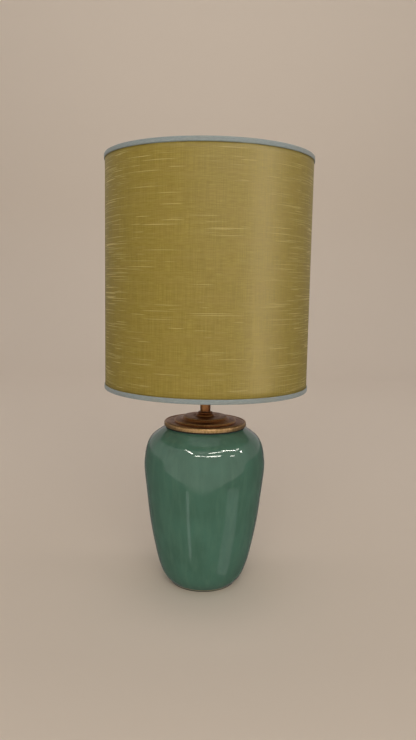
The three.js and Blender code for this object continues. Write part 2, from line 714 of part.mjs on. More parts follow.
function bulbGlass() {
  const zBall = zBulbTop - BULB_R;
  const shoulder = zGlass + BULB_FLARE_START;
  const flare = new THREE.CubicBezierCurve(
    point(neckGlassR, shoulder),
    point(neckGlassR, shoulder + BULB_FLARE_LOW),
    point(BULB_R, zBall - BULB_FLARE_HIGH),
    point(BULB_R, zBall),
  ).getPoints(6);
  const crown = new THREE.EllipseCurve(0, zBall, BULB_R, BULB_R, 0, 0.46 * Math.PI).getPoints(5).slice(1);
  const outside = [point(neckGlassR, zGlass), ...flare, ...crown];
  const inside = beside(outside, BULB_GLASS_T).reverse();
  return turned([...outside, point(0, zBulbTop), point(0, zBulbTop - BULB_GLASS_T), ...inside], MIDDLE_SIDES);
}

function bulbSeat() {
  const high = zBulbSeat + BULB_SEAT_H;
  const low = point(BULB_TIP_R + GAP, zBulbSeat);
  return turned([point(0, zBulbSeat), low, point(neckGlassR, high), point(0, high)], MIDDLE_SIDES);
}

function bulbStem() {
  const z = zGlass + GAP;
  const outline = [
    point(0, z),
    point(neckGlassR - BULB_GLASS_T - GAP, z),
    point(1.25 * STEM_R, z + STEM_FOOT_H),
    point(STEM_R, z + 2 * STEM_FOOT_H),
    point(0.6 * STEM_R, z + STEM_H),
    point(0, z + STEM_H),
  ];
  return turned(outline, SMALL_SIDES);
}

function bulbTip() {
  const high = zBulb + BULB_TIP_H;
  const low = point(0.6 * BULB_TIP_R, zBulb);
  return turned([point(0, zBulb), low, point(BULB_TIP_R, high), point(0, high)], SMALL_SIDES);
}

function filament(turn) {
  const stick = rod('z', FILAMENT_R, -FILAMENT_L / 2, FILAMENT_L / 2, 8).rotateY(-FILAMENT_TILT);
  const z = zGlass + STEM_H + 0.75 * FILAMENT_L;
  return at(stick, FILAMENT_RING_R, 0, z).rotateZ(turn);
}

add('bulb_contact', bulbTip(), STEEL);
add('bulb_insulator', bulbSeat(), BAKELITE);
const bulbCrestR = BULB_CAP_R - BULB_CAP_SHEET - THREAD_DEPTH;
add('bulb_cap', rolledShell(bulbCrestR, zBulbCap, BULB_CAP_H, BULB_CAP_SHEET), CAP_METAL);
add('bulb_glass', bulbGlass(), CLEAR_GLASS);
add('bulb_stem', bulbStem(), CLEAR_GLASS);
for (let i = 0; i < FILAMENTS; i++) {
  add(`led_filament_${i + 1}`, filament(((i + 0.5) * 2 * Math.PI) / FILAMENTS), PHOSPHOR);
}

// ---------------------------------------------------------------------------------------------------------
// Shade
// ---------------------------------------------------------------------------------------------------------

function ringNut(z) {
  const shape = new THREE.Shape();
  for (let i = 0; i < 2 * RING_NUT_GRIPS; i++) {
    const radius = RING_NUT_R - (i % 2) * RING_NUT_GRIP_DEPTH;
    const turn = (i * Math.PI) / RING_NUT_GRIPS;
    const [x, y] = [radius * Math.cos(turn), radius * Math.sin(turn)];
    if (i === 0) shape.moveTo(x, y);
    else shape.lineTo(x, y);
  }
  const hole = new THREE.Path();
  hole.absarc(0, 0, HOLDER_R + GAP, 0, 2 * Math.PI);
  shape.holes.push(hole);
  const settings = { depth: RING_NUT_H, bevelEnabled: false, curveSegments: MIDDLE_SIDES / 2 };
  return at(new THREE.ExtrudeGeometry(shape, settings), 0, 0, z);
}

function carrierArm(turn) {
  const zEnd = zLowWire + WIRE_R + GAP + ARM_R;
  const zStart = zHub + HUB_T / 2;
  const [start, end] = [hubR + GAP, wireRingR + ARM_R / 2];
  const path = new THREE.CatmullRomCurve3([
    new THREE.Vector3(start, 0, zStart),
    new THREE.Vector3(start + ARM_LEVEL, 0, zStart),
    new THREE.Vector3(end - ARM_TOE, 0, zEnd + ARM_R / 2),
    new THREE.Vector3(end, 0, zEnd),
  ]);
  const section = new THREE.Shape();
  section.absarc(0, 0, ARM_R, 0, 2 * Math.PI);
  const arm = new THREE.ExtrudeGeometry(section, { extrudePath: path, steps: 8, curveSegments: 4 });
  return arm.rotateZ(turn);
}

const wireRing = (z) => at(new THREE.TorusGeometry(wireRingR, WIRE_R, 6, SHADE_SIDES), 0, 0, z);

/** Tape folded over an edge of the shade; up is 1 for the lower edge and -1 for the upper one. */
function binding(edge, up) {
  const outR = SHADE_R + GAP + TAPE_T;
  const inR = wireRingR - WIRE_R - GAP - TAPE_T;
  const z = (height) => edge + up * height;
  const outline = [
    point(inR, z(0)),
    point(outR, z(0)),
    point(outR, z(TAPE_H)),
    point(outR - TAPE_T, z(TAPE_H)),
    point(outR - TAPE_T, z(TAPE_T)),
    point(inR + TAPE_T, z(TAPE_T)),
    point(inR + TAPE_T, z(TAPE_TURN_H)),
    point(inR, z(TAPE_TURN_H)),
  ];
  return turned(up > 0 ? outline : outline.reverse(), SHADE_SIDES);
}

const wallLow = zShade + TAPE_T + GAP;
const wallHeight = SHADE_H - 2 * (TAPE_T + GAP);

add('ring_nut_lower', ringNut(zRingNut), BAKELITE);
add('ring_nut_upper', ringNut(zUpperNut), BAKELITE);
add('carrier_hub', tube(HOLDER_R + GAP, hubR, zHub, HUB_T, MIDDLE_SIDES), WHITE_WIRE);
for (let i = 0; i < ARMS; i++) {
  add(`carrier_arm_${i + 1}`, carrierArm(Math.PI / 2 + (i * 2 * Math.PI) / ARMS), WHITE_WIRE);
}
add('shade_ring_lower', wireRing(zLowWire), WHITE_WIRE);
add('shade_ring_upper', wireRing(zHighWire), WHITE_WIRE);
add('shade_lining', tube(liningR - LINING_T, liningR, wallLow, wallHeight, SHADE_SIDES), LINING);
add('shade_cloth', tube(clothBoreR, SHADE_R, wallLow, wallHeight, SHADE_SIDES), SILK);
add('binding_lower', binding(zShade, 1), TAPE);
add('binding_upper', binding(zShadeTop, -1), TAPE);

export default lamp;
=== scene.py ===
# %% [markdown]
# # A table lamp with a straight drum shade
# The lamp is a glazed vase under a spun brass cap, with a lampholder, a bulb and a silk shade above it.
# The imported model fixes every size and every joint. This script dresses it: most nodes get a finely shaped
# piece in their place, and the small ones inside keep their shape and get a finish.

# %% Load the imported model
import json
import math

import bmesh
import bpy
from mathutils import Matrix, Vector


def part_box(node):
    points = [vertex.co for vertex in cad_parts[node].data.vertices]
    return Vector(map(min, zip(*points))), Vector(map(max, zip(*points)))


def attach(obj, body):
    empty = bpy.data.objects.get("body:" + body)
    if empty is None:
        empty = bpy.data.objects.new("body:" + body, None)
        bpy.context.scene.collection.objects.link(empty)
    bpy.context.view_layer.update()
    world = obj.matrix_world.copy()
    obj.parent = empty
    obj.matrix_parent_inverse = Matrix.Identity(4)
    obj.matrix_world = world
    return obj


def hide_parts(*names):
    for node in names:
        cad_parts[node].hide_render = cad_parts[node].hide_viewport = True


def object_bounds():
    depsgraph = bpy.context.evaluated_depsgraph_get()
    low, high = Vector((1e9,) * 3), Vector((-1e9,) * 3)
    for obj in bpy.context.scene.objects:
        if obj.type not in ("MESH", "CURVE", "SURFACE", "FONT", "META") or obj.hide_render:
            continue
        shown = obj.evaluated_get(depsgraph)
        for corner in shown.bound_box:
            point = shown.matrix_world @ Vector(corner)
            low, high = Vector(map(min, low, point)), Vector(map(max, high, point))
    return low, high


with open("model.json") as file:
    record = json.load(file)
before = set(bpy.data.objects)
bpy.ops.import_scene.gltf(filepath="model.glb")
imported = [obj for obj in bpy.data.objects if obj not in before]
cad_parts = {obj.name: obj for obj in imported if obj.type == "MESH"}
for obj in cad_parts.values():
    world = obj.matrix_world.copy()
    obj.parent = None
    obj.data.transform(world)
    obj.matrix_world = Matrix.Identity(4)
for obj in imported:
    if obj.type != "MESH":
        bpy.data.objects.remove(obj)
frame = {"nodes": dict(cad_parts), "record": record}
cad_low, cad_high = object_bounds()
nodes = frame["nodes"]
print("the lamp is", [round(side, 4) for side in cad_high - cad_low], "m")

# %% [markdown]
# ## Camera
# It stands in front of the lamp, a little above the middle of the shade, and looks slightly down, so the
# lower edge of the shade shows as a curve and the top of the vase cap comes into view. It leans by a degree.

# %% Camera
CAMERA_PLACE = (0.0025, -0.83, 0.3804)
CAMERA_DOWN = 7.324
CAMERA_LEAN = 0.998
SENSOR_W = 36
FOCAL_LENGTH = 32.43

lens = bpy.data.cameras.new("camera")
lens.sensor_width = SENSOR_W
lens.lens = FOCAL_LENGTH
camera = bpy.data.objects.new("camera", lens)
bpy.context.scene.collection.objects.link(camera)
look = Matrix.Rotation(math.radians(90 - CAMERA_DOWN), 4, "X")
lean = Matrix.Rotation(math.radians(CAMERA_LEAN), 4, "Z")
camera.matrix_world = Matrix.Translation(CAMERA_PLACE) @ look @ lean
bpy.context.scene.camera = camera
bpy.context.scene.view_settings.view_transform = "Standard"
print("camera looks down by", CAMERA_DOWN, "degrees")

# %% [markdown]
# ## How the finishes are made
# Each finish is one Principled surface. Its patterns are noises and bands read from Object coordinates, or
# from a piece's own UV map where the pattern has to follow a rolled cloth. Pattern sizes are written in
# millimetres. A number that holds for the whole surface is set on the shader itself.

# %% Helpers for finishes
MM = 0.001
finishes = {}


def linear(colour):
    """An sRGB hex colour as the linear colour that a shader needs."""
    shares = [int(colour[i:i + 2], 16) / 255 for i in (1, 3, 5)]
    return [s / 12.92 if s <= 0.04045 else ((s + 0.055) / 1.055) ** 2.4 for s in shares] + [1]


def add(tree, kind, inputs, **settings):
    """Adds a node with its settings. Each input takes a value, or a link from another node's output."""
    node = tree.nodes.new("ShaderNode" + kind)
    for name, value in settings.items():
        setattr(node, name, value)
    for key, value in inputs.items():
        if isinstance(value, bpy.types.NodeSocket):
            tree.links.new(value, node.inputs[key])
        else:
            node.inputs[key].default_value = value
    return node


def finish(slot, **constants):
    """A new material for a slot of the record, with constant values on its shader's own sockets."""
    material = bpy.data.materials.new(slot)
    material.use_nodes = True
    tree = material.node_tree
    shader = tree.nodes["Principled BSDF"]
    for name, value in constants.items():
        shader.inputs[name.replace("_", " ")].default_value = value
    finishes[slot] = material
    return tree, shader


def place_of(tree, uv=None):
    """Where a point is on the piece: its Object coordinates, or its UV map's."""
    if uv:
        return add(tree, "UVMap", {}, uv_map=uv).outputs[0]
    return add(tree, "TexCoord", {}).outputs["Object"]


def grain(tree, place, size, detail=2, shift=0.0):
    """Noise whose blobs have the given size in millimetres along X, Y and Z."""
    scale = [1 / (s * MM) for s in size]
    mapping = add(tree, "Mapping", {"Vector": place, "Scale": scale, "Location": (shift, shift, shift)})
    noise = add(tree, "TexNoise", {"Vector": mapping.outputs[0], "Scale": 1.0, "Detail": detail})
    return noise.outputs["Fac"]


def between(tree, value, low, high, to_low=0.0, to_high=1.0):
    """Stretches a value from one range to another, and keeps it there."""
    limits = {"Value": value, "From Min": low, "From Max": high, "To Min": to_low, "To Max": to_high}
    return add(tree, "MapRange", limits).outputs[0]


def blend(tree, share, first, second):
    """A mix of two colours, each a hex value or a link."""
    ends = [linear(c) if isinstance(c, str) else c for c in (first, second)]
    return add(tree, "Mix", {0: share, 6: ends[0], 7: ends[1]}, data_type="RGBA").outputs[2]


def maths(tree, operation, *values):
    return add(tree, "Math", dict(enumerate(values)), operation=operation).outputs[0]


def raise_surface(tree, shader, height, depth, strength=1.0):
    """Bump of a real depth in millimetres."""
    bump = add(tree, "Bump", {"Height": height, "Distance": depth * MM, "Strength": strength})
    tree.links.new(bump.outputs[0], shader.inputs["Normal"])


def connect(tree, shader, **links):
    for name, value in links.items():
        tree.links.new(value, shader.inputs[name.replace("_", " ")])


print("helpers for finishes are ready")

# %% [markdown]
# ## Glaze
# Stoneware under a green glaze, fired glossy. The glaze ran a little while it was molten, so it has faint
# upright streaks and slow waves that bend the reflections. It is thin over the edge of the foot, where the
# pale body shows, and the foot ring that stood in the kiln is bare.

# %% Glaze
FOOT_BARE_Z = 1.9  # up to here the foot ring is bare
FOOT_THIN_Z = 3.3  # up to here the glaze is thin

tree, shader = finish("glaze", IOR=1.5, Roughness=0.07)
place = place_of(tree)
height = add(tree, "SeparateXYZ", {"Vector": place}).outputs["Z"]
runs = grain(tree, place, (7, 7, 60), 3)
clouds = grain(tree, place, (28, 28, 40), 2, 3.0)
colour = blend(tree, between(tree, clouds, 0.35, 0.65), "#4d7768", "#538172")
colour = blend(tree, between(tree, runs, 0.45, 0.75, 0, 0.5), colour, "#618b7b")
specks = grain(tree, place, (0.9, 0.9, 0.9), 1, 5.0)
colour = blend(tree, between(tree, specks, 0.70, 0.76, 0, 0.6), colour, "#3c5a49")
thin = between(tree, height, FOOT_BARE_Z * MM, FOOT_THIN_Z * MM, 1, 0)
colour = blend(tree, thin, colour, "#b9a98c")
waves = grain(tree, place, (22, 22, 30), 1, 7.0)
connect(tree, shader, Base_Color=colour, Roughness=between(tree, thin, 0, 1, 0.07, 0.7))
raise_surface(tree, shader, waves, 0.35, 0.5)
print("glaze runs 7 mm wide, waves 22 mm")

# %% [markdown]
# ## Aged brass
# Spun brass that has gone brown where nobody touches it. The rim and the sharp edges of the steps are painted
# bright: partly brass rubbed bright, partly painted highlight where these edges catch the light. Spinning
# leaves fine rings, which catch the light as arcs. Real spinning rings are about 0.3 mm apart; they are drawn
# 0.9 mm apart so that they show.

# %% Aged brass
SPUN_RING = 0.9
TURNING_BAND = 2.6
BRIGHT_RIM_R = 50.3
STEP_EDGES = ((38.2, 1.0), (27.2, 1.0), (47.6, 0.6))

tree, shader = finish("aged_brass", Metallic=1.0)
place = place_of(tree)
axes = add(tree, "SeparateXYZ", {"Vector": place}).outputs
flat = add(tree, "CombineXYZ", {"X": axes["X"], "Y": axes["Y"]}).outputs[0]
radius = add(tree, "VectorMath", {0: flat}, operation="LENGTH").outputs["Value"]
patches = grain(tree, place, (9, 9, 9), 4)
stains = grain(tree, place, (2.2, 2.2, 2.2), 3, 4.0)
bands = grain(tree, add(tree, "CombineXYZ", {"X": radius}).outputs[0], (TURNING_BAND, 1, 1), 2, 6.0)
dark = blend(tree, between(tree, bands, 0.35, 0.65), "#7c4c2b", "#b58552")
dark = blend(tree, between(tree, patches, 0.40, 0.65, 0, 0.5), dark, "#7a4a2e")
dark = blend(tree, between(tree, stains, 0.5, 0.75, 0, 0.6), dark, "#472c1c")
# The rim band and the step edges are painted bright: partly rubbed brass, partly painted highlight.
rubbed_and_glint = between(tree, radius, (BRIGHT_RIM_R - 0.5) * MM, BRIGHT_RIM_R * MM)
for edge, width in STEP_EDGES:
    away = maths(tree, "ABSOLUTE", maths(tree, "SUBTRACT", radius, edge * MM))
    rubbed_and_glint = maths(tree, "MAXIMUM", rubbed_and_glint, between(tree, away, 0.3 * MM, width * MM, 0.7, 0))
bright = blend(tree, between(tree, stains, 0.4, 0.7), "#c2a071", "#9c7c4a")
rings = maths(tree, "SINE", maths(tree, "MULTIPLY", radius, 2 * math.pi / (SPUN_RING * MM)))
connect(tree, shader, Base_Color=blend(tree, rubbed_and_glint, dark, bright),
        Roughness=between(tree, patches, 0.3, 0.7, 0.30, 0.46))
raise_surface(tree, shader, rings, 0.012, 0.7)
print("spun rings every", SPUN_RING, "mm")

# %% [markdown]
# ## Small metals
# Plain brass for the contacts and the screwed shell, zinc-plated steel for the rod and the fixings, and
# rolled aluminium for the cap of the bulb. All three are bright metals with a slight cloudiness; what tells
# them apart is colour, and how fine the rolling marks are.

# %% Small metals
SMALL_METALS = {
    "bright_brass": ("#b8964f", "#94753a", (3, 3, 3), 0.28, 0.42),
    "zinc_steel": ("#b4b6b8", "#8f9396", (1.6, 1.6, 1.6), 0.30, 0.50),
    "cap_metal": ("#c6c8ca", "#a6a9ac", (5, 5, 0.8), 0.25, 0.40),
}
for slot, (light_colour, dark_colour, size, smooth_part, rough_part) in SMALL_METALS.items():
    tree, shader = finish(slot, Metallic=1.0)
    place = place_of(tree)
    clouds = grain(tree, place, size, 3)
    marks = grain(tree, place, (0.4, 0.4, 0.4), 1, 2.0)
    share = between(tree, clouds, 0.35, 0.65)
    connect(tree, shader, Base_Color=blend(tree, share, light_colour, dark_colour),
            Roughness=between(tree, clouds, 0.3, 0.7, smooth_part, rough_part))
    raise_surface(tree, shader, marks, 0.02, 0.5)
print("small metals:", list(SMALL_METALS))

# %% [markdown]
# ## White-coated wire
# The shade's carrier is steel wire with a thick white plastic coat, baked on. The coat pools slightly, which
# gives it a soft orange-peel surface, and it has yellowed unevenly.

# %% White-coated wire
tree, shader = finish("white_wire", Roughness=0.35, Coat_Weight=0.2, Coat_Roughness=0.15)
place = place_of(tree)
age = grain(tree, place, (14, 14, 14), 3)
connect(tree, shader, Base_Color=blend(tree, between(tree, age, 0.35, 0.7), "#e4e0d6", "#cfc7b2"))
raise_surface(tree, shader, grain(tree, place, (1.4, 1.4, 1.4), 1, 2.0), 0.05, 0.6)
print("white coat peels at 1.4 mm")

# %% [markdown]
# ## Moulded, pressed and fired small parts
# Bakelite is black and glossy with tiny grey flecks of its filler. Rubber is matt. Felt is a mat of short
# wool. Cork is granules pressed in a binder. Electrical porcelain is white with a faint dull skin.
# Each takes two or three colours, mixed by grains of the real size.

# %% Moulded, pressed and fired small parts
SMALL_PARTS = {
    # slot: light colour, dark colour, grain in mm, roughness from and to, bump in mm
    "bakelite": ("#24211f", "#161413", 1.1, 0.22, 0.34, 0.008),
    "rubber": ("#262626", "#181818", 0.6, 0.65, 0.85, 0.03),
    "felt": ("#48564b", "#2f3a32", 0.8, 0.90, 1.00, 0.25),
    "porcelain": ("#ece8de", "#d8d2c4", 6.0, 0.30, 0.45, 0.01),
}
for slot, (light_colour, dark_colour, size, smooth_part, rough_part, depth) in SMALL_PARTS.items():
    tree, shader = finish(slot)
    place = place_of(tree)
    blobs = grain(tree, place, (size, size, size), 4)
    connect(tree, shader, Base_Color=blend(tree, between(tree, blobs, 0.35, 0.65), light_colour, dark_colour),
            Roughness=between(tree, blobs, 0.3, 0.7, smooth_part, rough_part))
    raise_surface(tree, shader, blobs, depth, 0.6)
finishes["felt"].node_tree.nodes["Principled BSDF"].inputs["Sheen Weight"].default_value = 0.5
print("small parts:", list(SMALL_PARTS))

# %% Pressed cork
CORK_GRANULE = 3.0

tree, shader = finish("cork", Roughness=0.9)
place = place_of(tree)
granules = add(tree, "TexVoronoi", {"Vector": place, "Scale": 1 / (CORK_GRANULE * MM)}).outputs
shade_of_granule = add(tree, "SeparateColor", {"Color": granules["Color"]}).outputs[0]
colour = blend(tree, shade_of_granule, "#b98d5e", "#8c6239")
colour = blend(tree, between(tree, granules["Distance"], 0.45, 0.7), colour, "#5a3d24")
connect(tree, shader, Base_Color=colour)
raise_surface(tree, shader, granules["Distance"], 0.2, 0.6)
print("cork granules", CORK_GRANULE, "mm")

# %% [markdown]
# ## Glass and phosphor of the bulb
# Clear blown glass with a little dust on it, and yellow silicone with phosphor powder on the filaments.
# The glass is a real wall with an inside, so it refracts as a bulb does.

# %% Glass and phosphor of the bulb
tree, shader = finish("clear_glass", IOR=1.5, Transmission_Weight=1.0)
place = place_of(tree)
dust = grain(tree, place, (6, 6, 6), 4)
connect(tree, shader, Base_Color=blend(tree, between(tree, dust, 0.4, 0.7), "#fbfcfc", "#eef1f0"),
        Roughness=between(tree, dust, 0.45, 0.75, 0.0, 0.06))

tree, shader = finish("phosphor", Roughness=0.55)
place = place_of(tree)
powder = grain(tree, place, (0.5, 0.5, 0.5), 2)
connect(tree, shader, Base_Color=blend(tree, between(tree, powder, 0.35, 0.65), "#e8bd52", "#cf9a34"))
raise_surface(tree, shader, powder, 0.08, 0.6)
print("glass and phosphor are ready")

# %% [markdown]
# ## Slub silk
# Dupion silk: a plain weave of olive warp and gold weft, so the cloth looks neither. The weft is reeled from
# double cocoons and thickens here and there into slubs, pale streaks a few centimetres long. Real threads
# are about 0.3 mm apart; they are drawn 0.8 mm apart, because finer ones would melt into one colour. Slubs
# gather at random in some stretches of the cloth, and they are painted sparse across the front of the drum
# and thicker towards its sides: painted sheen, for slubs catching the light at the sides. The pattern reads
# the flat cloth's UV map.

# %% Slub silk
THREAD = 0.8
WEFT_RUN = 11.0
WARP_RUN = 34.0
SLUB_THICK = 0.9
SLUB_NOISES = ((75.0, 11.0, 0.76), (38.0, 17.0, 0.79))  # length in mm, shift, level where a slub begins
CLOTH_W = 0.7974  # width of the cut cloth, in metres
# Painted sheen: slubs are painted sparse across this front stretch and thicker towards the sides.
DIM_SLUB_FRONT = 0.085  # half the width of the front stretch with few slubs, in metres

tree, shader = finish("silk", Sheen_Weight=0.04, Sheen_Roughness=0.4, Specular_IOR_Level=0.24)
shader.inputs["Sheen Tint"].default_value = linear("#e6dfb4")
cloth = place_of(tree, "cloth")
weft = grain(tree, cloth, (WEFT_RUN, THREAD, 1), 2)
warp = grain(tree, cloth, (THREAD, WARP_RUN, 1), 2, 9.0)
tone = grain(tree, cloth, (26, 15, 1), 4, 4.0)
streaks = grain(tree, cloth, (70, 2.6, 1), 3, 6.0)
colour = blend(tree, between(tree, weft, 0.36, 0.64), "#98883b", "#ab9c4a")
colour = blend(tree, between(tree, warp, 0.42, 0.62, 0, 0.45), colour, "#837833")
colour = blend(tree, between(tree, tone, 0.40, 0.68, 0, 0.3), colour, "#a08d49")
colour = blend(tree, between(tree, streaks, 0.45, 0.75, 0, 0.3), colour, "#b3a45b")
across = add(tree, "SeparateXYZ", {"Vector": cloth}).outputs["X"]
from_front = maths(tree, "ABSOLUTE", maths(tree, "SUBTRACT", across, CLOTH_W / 2))
# Painted sheen: more slubs towards the sides of the drum, fewer at its front.
side_glint_share = between(tree, from_front, 0.75 * DIM_SLUB_FRONT, 1.75 * DIM_SLUB_FRONT, 0, 0.10)
drift = between(tree, grain(tree, cloth, (120, 45, 1), 1, 2.0), 0.3, 0.7, 0, 0.015)
slubs = None
for length, shift, level in SLUB_NOISES:
    lines = grain(tree, cloth, (length, SLUB_THICK, 1), 0, shift)
    lines = maths(tree, "ADD", maths(tree, "ADD", lines, side_glint_share), drift)
    lines = between(tree, lines, level, level + 0.05)
    slubs = lines if slubs is None else maths(tree, "MAXIMUM", slubs, lines)
colour = blend(tree, maths(tree, "MULTIPLY", slubs, 0.85), colour, "#d6ca86")
threads = maths(tree, "ADD", weft, warp)
relief = maths(tree, "ADD", threads, maths(tree, "MULTIPLY", slubs, 1.2))
connect(tree, shader, Base_Color=colour, Roughness=between(tree, weft, 0.3, 0.7, 0.40, 0.52))
raise_surface(tree, shader, relief, 0.2, 0.5)
print("threads every", THREAD, "mm, slubs", SLUB_THICK, "mm thick")

# %% [markdown]
# ## Binding tape
# A pale grey-blue cotton tape, folded over both edges of the shade. Its twill ribs run at a slant, 1.3 mm
# apart along the tape here and about half that on the real one. It is a little soiled in places, and one
# edge of each tape is painted darker: painted shade along that edge.

# %% Binding tape
TWILL = 1.3
EDGE_SHADE_W = 0.8  # width of the darkened edge

tree, shader = finish("binding_tape", Roughness=0.85, Sheen_Weight=0.2)
tape = place_of(tree, "cloth")
flat = add(tree, "SeparateXYZ", {"Vector": tape}).outputs
slant = maths(tree, "ADD", flat["X"], flat["Y"])
ribs = maths(tree, "SINE", maths(tree, "MULTIPLY", slant, 2 * math.pi / (TWILL * MM)))
fibres = grain(tree, tape, (5, 0.9, 1), 2, 3.0)
colour = blend(tree, between(tree, fibres, 0.35, 0.65), "#8c9ea6", "#9fafb4")
colour = blend(tree, between(tree, ribs, 0.2, 1, 0, 0.3), colour, "#b0bec1")
soil = grain(tree, tape, (30, 8, 1), 3, 8.0)
colour = blend(tree, between(tree, soil, 0.45, 0.7, 0, 0.35), colour, "#9b9c8c")
# Painted shade: a darker line along one edge of the tape.
painted_edge_shade = between(tree, flat["Y"], EDGE_SHADE_W * MM, 1.4 * EDGE_SHADE_W * MM, 0.6, 0)
colour = blend(tree, painted_edge_shade, colour, "#6f7a6c")
connect(tree, shader, Base_Color=colour)
raise_surface(tree, shader, maths(tree, "ADD", ribs, fibres), 0.12, 0.5)
print("twill ribs every", TWILL, "mm")

# %% [markdown]
# ## Lining
# Cream shade card, laminated to the back of the silk. It has a smooth face with paper fibres in it, and it
# has browned a little above the bulb, where the heat goes.

# %% Lining
tree, shader = finish("lining", Roughness=0.7)
card = place_of(tree, "cloth")
fibres = grain(tree, card, (3, 1.2, 1), 4)
height = add(tree, "SeparateXYZ", {"Vector": card}).outputs["Y"]
heat = between(tree, height, 0.10, 0.26, 0, 0.35)
colour = blend(tree, between(tree, fibres, 0.35, 0.65), "#e9e3d2", "#ddd5c0")
connect(tree, shader, Base_Color=blend(tree, heat, colour, "#d2c29c"))
raise_surface(tree, shader, fibres, 0.04, 0.5)
print("finishes:", sorted(finishes))

# %% [markdown]
# ## How the pieces are made
# Nearly everything in this lamp is turned, spun, moulded or rolled. So a piece is mostly an outline whose
# corners are rounded by a bevel and which is spun once round, or a flat sheet that is rolled up. Pieces are
# drawn in millimetres, and become metres when they are done.

# %% Helpers for pieces
SHARP = math.radians(35)  # edges sharper than this stay crisp
ROUND_STEPS = 4


def tidy(bm):
    """Merges doubles, turns the faces outwards, and shades all but the sharp edges smooth."""
    bmesh.ops.remove_doubles(bm, verts=bm.verts, dist=0.0005)
    bmesh.ops.recalc_face_normals(bm, faces=bm.faces)
    for face in bm.faces:
        face.smooth = True
    for edge in bm.edges:
        edge.smooth = len(edge.link_faces) == 2 and edge.calc_face_angle(0) < SHARP
    return bm


def round_corners(bm, corners, size, steps=ROUND_STEPS):
    """Rounds corners of a line of edges."""
    bmesh.ops.bevel(bm, geom=corners, offset=size, offset_type="OFFSET", segments=steps, profile=0.5,
                    affect="VERTICES", clamp_overlap=True, material=-1)


def turned(outline, sides=96):
    """Spins an outline of (radius, height, rounding) points about Z.

    An outline that starts on the axis ends there too. Any other one closes on itself.
    """
    bm = bmesh.new()
    verts = [bm.verts.new((p[0], 0, p[1])) for p in outline]
    pairs = list(zip(verts, verts[1:]))
    if outline[0][0] > 0:
        pairs.append((verts[-1], verts[0]))
    for pair in pairs:
        bm.edges.new(pair)
    for size in sorted({p[2] for p in outline if len(p) > 2}):
        round_corners(bm, [v for v, p in zip(verts, outline) if p[2:] == (size,)], size)
    bmesh.ops.spin(bm, geom=bm.verts[:] + bm.edges[:], cent=(0, 0, 0), axis=(0, 0, 1), dvec=(0, 0, 0),
                   angle=2 * math.pi, steps=sides, use_merge=True, use_duplicate=False)
    return tidy(bm)


def stay(bm, matrix):
    """Moves or turns a shape, and gives it back."""
    bmesh.ops.transform(bm, matrix=matrix, verts=bm.verts)
    return bm


def to_mesh(bm, name):
    bmesh.ops.scale(bm, vec=(MM, MM, MM), verts=bm.verts)
    mesh = bpy.data.meshes.new(name)
    bm.to_mesh(mesh)
    bm.free()
    return mesh


def piece(name, bm, slot, body, *replaced):
    """Makes an object of a shape, with its finish, on its body, in place of the nodes it stands for."""
    mesh = to_mesh(bm, name)
    mesh.materials.append(finishes[slot])
    obj = bpy.data.objects.new(name, mesh)
    bpy.context.scene.collection.objects.link(obj)
    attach(obj, body)
    if replaced:
        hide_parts(*replaced)
    print(name, len(mesh.polygons), "faces")
    return obj


def corners_of(node):
    """Lowest and highest corner of a node, in millimetres."""
    low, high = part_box(node)
    return low / MM, high / MM


def reach(node):
    """Lowest height, highest height and outer radius of a turned node, in millimetres."""
    low, high = corners_of(node)
    return low.z, high.z, high.x


print("helpers for pieces are ready")

# %% Cutting a hole
def cut(bm, tool):
    """Cuts one closed shape out of another with the Boolean modifier."""
    pair = []
    for shape in (bm, tool):
        mesh = bpy.data.meshes.new("blank")
        shape.to_mesh(mesh)
        shape.free()
        blank = bpy.data.objects.new("blank", mesh)
        bpy.context.scene.collection.objects.link(blank)
        pair.append(blank)
    modifier = pair[0].modifiers.new("cut", "BOOLEAN")
    modifier.operation = "DIFFERENCE"
    modifier.solver = "EXACT"
    modifier.object = pair[1]
    view = bpy.context.evaluated_depsgraph_get()
    rest = bmesh.new()
    rest.from_mesh(pair[0].evaluated_get(view).to_mesh())
    for blank in pair:
        bpy.data.meshes.remove(blank.data)
    return tidy(rest)


def drill(radius, start, end, sides=48):
    """A closed cylinder between two points, for cutting."""
    bm = bmesh.new()
    start, end = Vector(start), Vector(end)
    way = end - start
    turn = way.to_track_quat("Z", "Y").to_matrix().to_4x4()
    bmesh.ops.create_cone(bm, cap_ends=True, segments=sides, radius1=radius, radius2=radius, depth=way.length,
                          matrix=Matrix.Translation((start + end) / 2) @ turn)
    return bm


print("cutting is ready")

# %% [markdown]
# ## Smooth lines
# The side of the vase has no arcs in it: the potter's curve swells slowly from the foot and turns in fast at
# the shoulder. A smooth line through a few points describes it. The points are shares of the way from foot
# to belly and from lip to belly, so they hold for any size of vase.

# %% Smooth lines
def smooth_line(points, steps):
    """A smooth curve through points, sampled evenly."""
    line = []
    last = len(points) - 1
    for step in range(steps + 1):
        whole = last * step / steps
        i = min(int(whole), last - 1)
        t = whole - i
        before, a, b, after = (points[min(max(i + k, 0), last)] for k in (-1, 0, 1, 2))
        leave, arrive = (b - before) / 2, (after - a) / 2
        bend = (-3 * a + 3 * b - 2 * leave - arrive) * t ** 2
        line.append((2 * a - 2 * b + leave + arrive) * t ** 3 + bend + leave * t + a)
    return line


def beside(line, distance):
    """The same line, moved to the left of its direction."""
    moved = []
    for i, point in enumerate(line):
        along = (line[min(i + 1, len(line) - 1)] - line[max(i - 1, 0)]).normalized()
        moved.append(point + Vector((-along.y, along.x)) * distance)
    return moved


print("smooth lines are ready")

# %% [markdown]
# ## Vase
# Thrown or cast stoneware: an ovoid body with a high shoulder, on a foot ring, with a plain lip that the cap
# hides. The outline goes up the outside, over the lip, down the inside, and round the hollow under the
# floor where the nut sits. A drilled hole near the foot lets the cord out at the back.

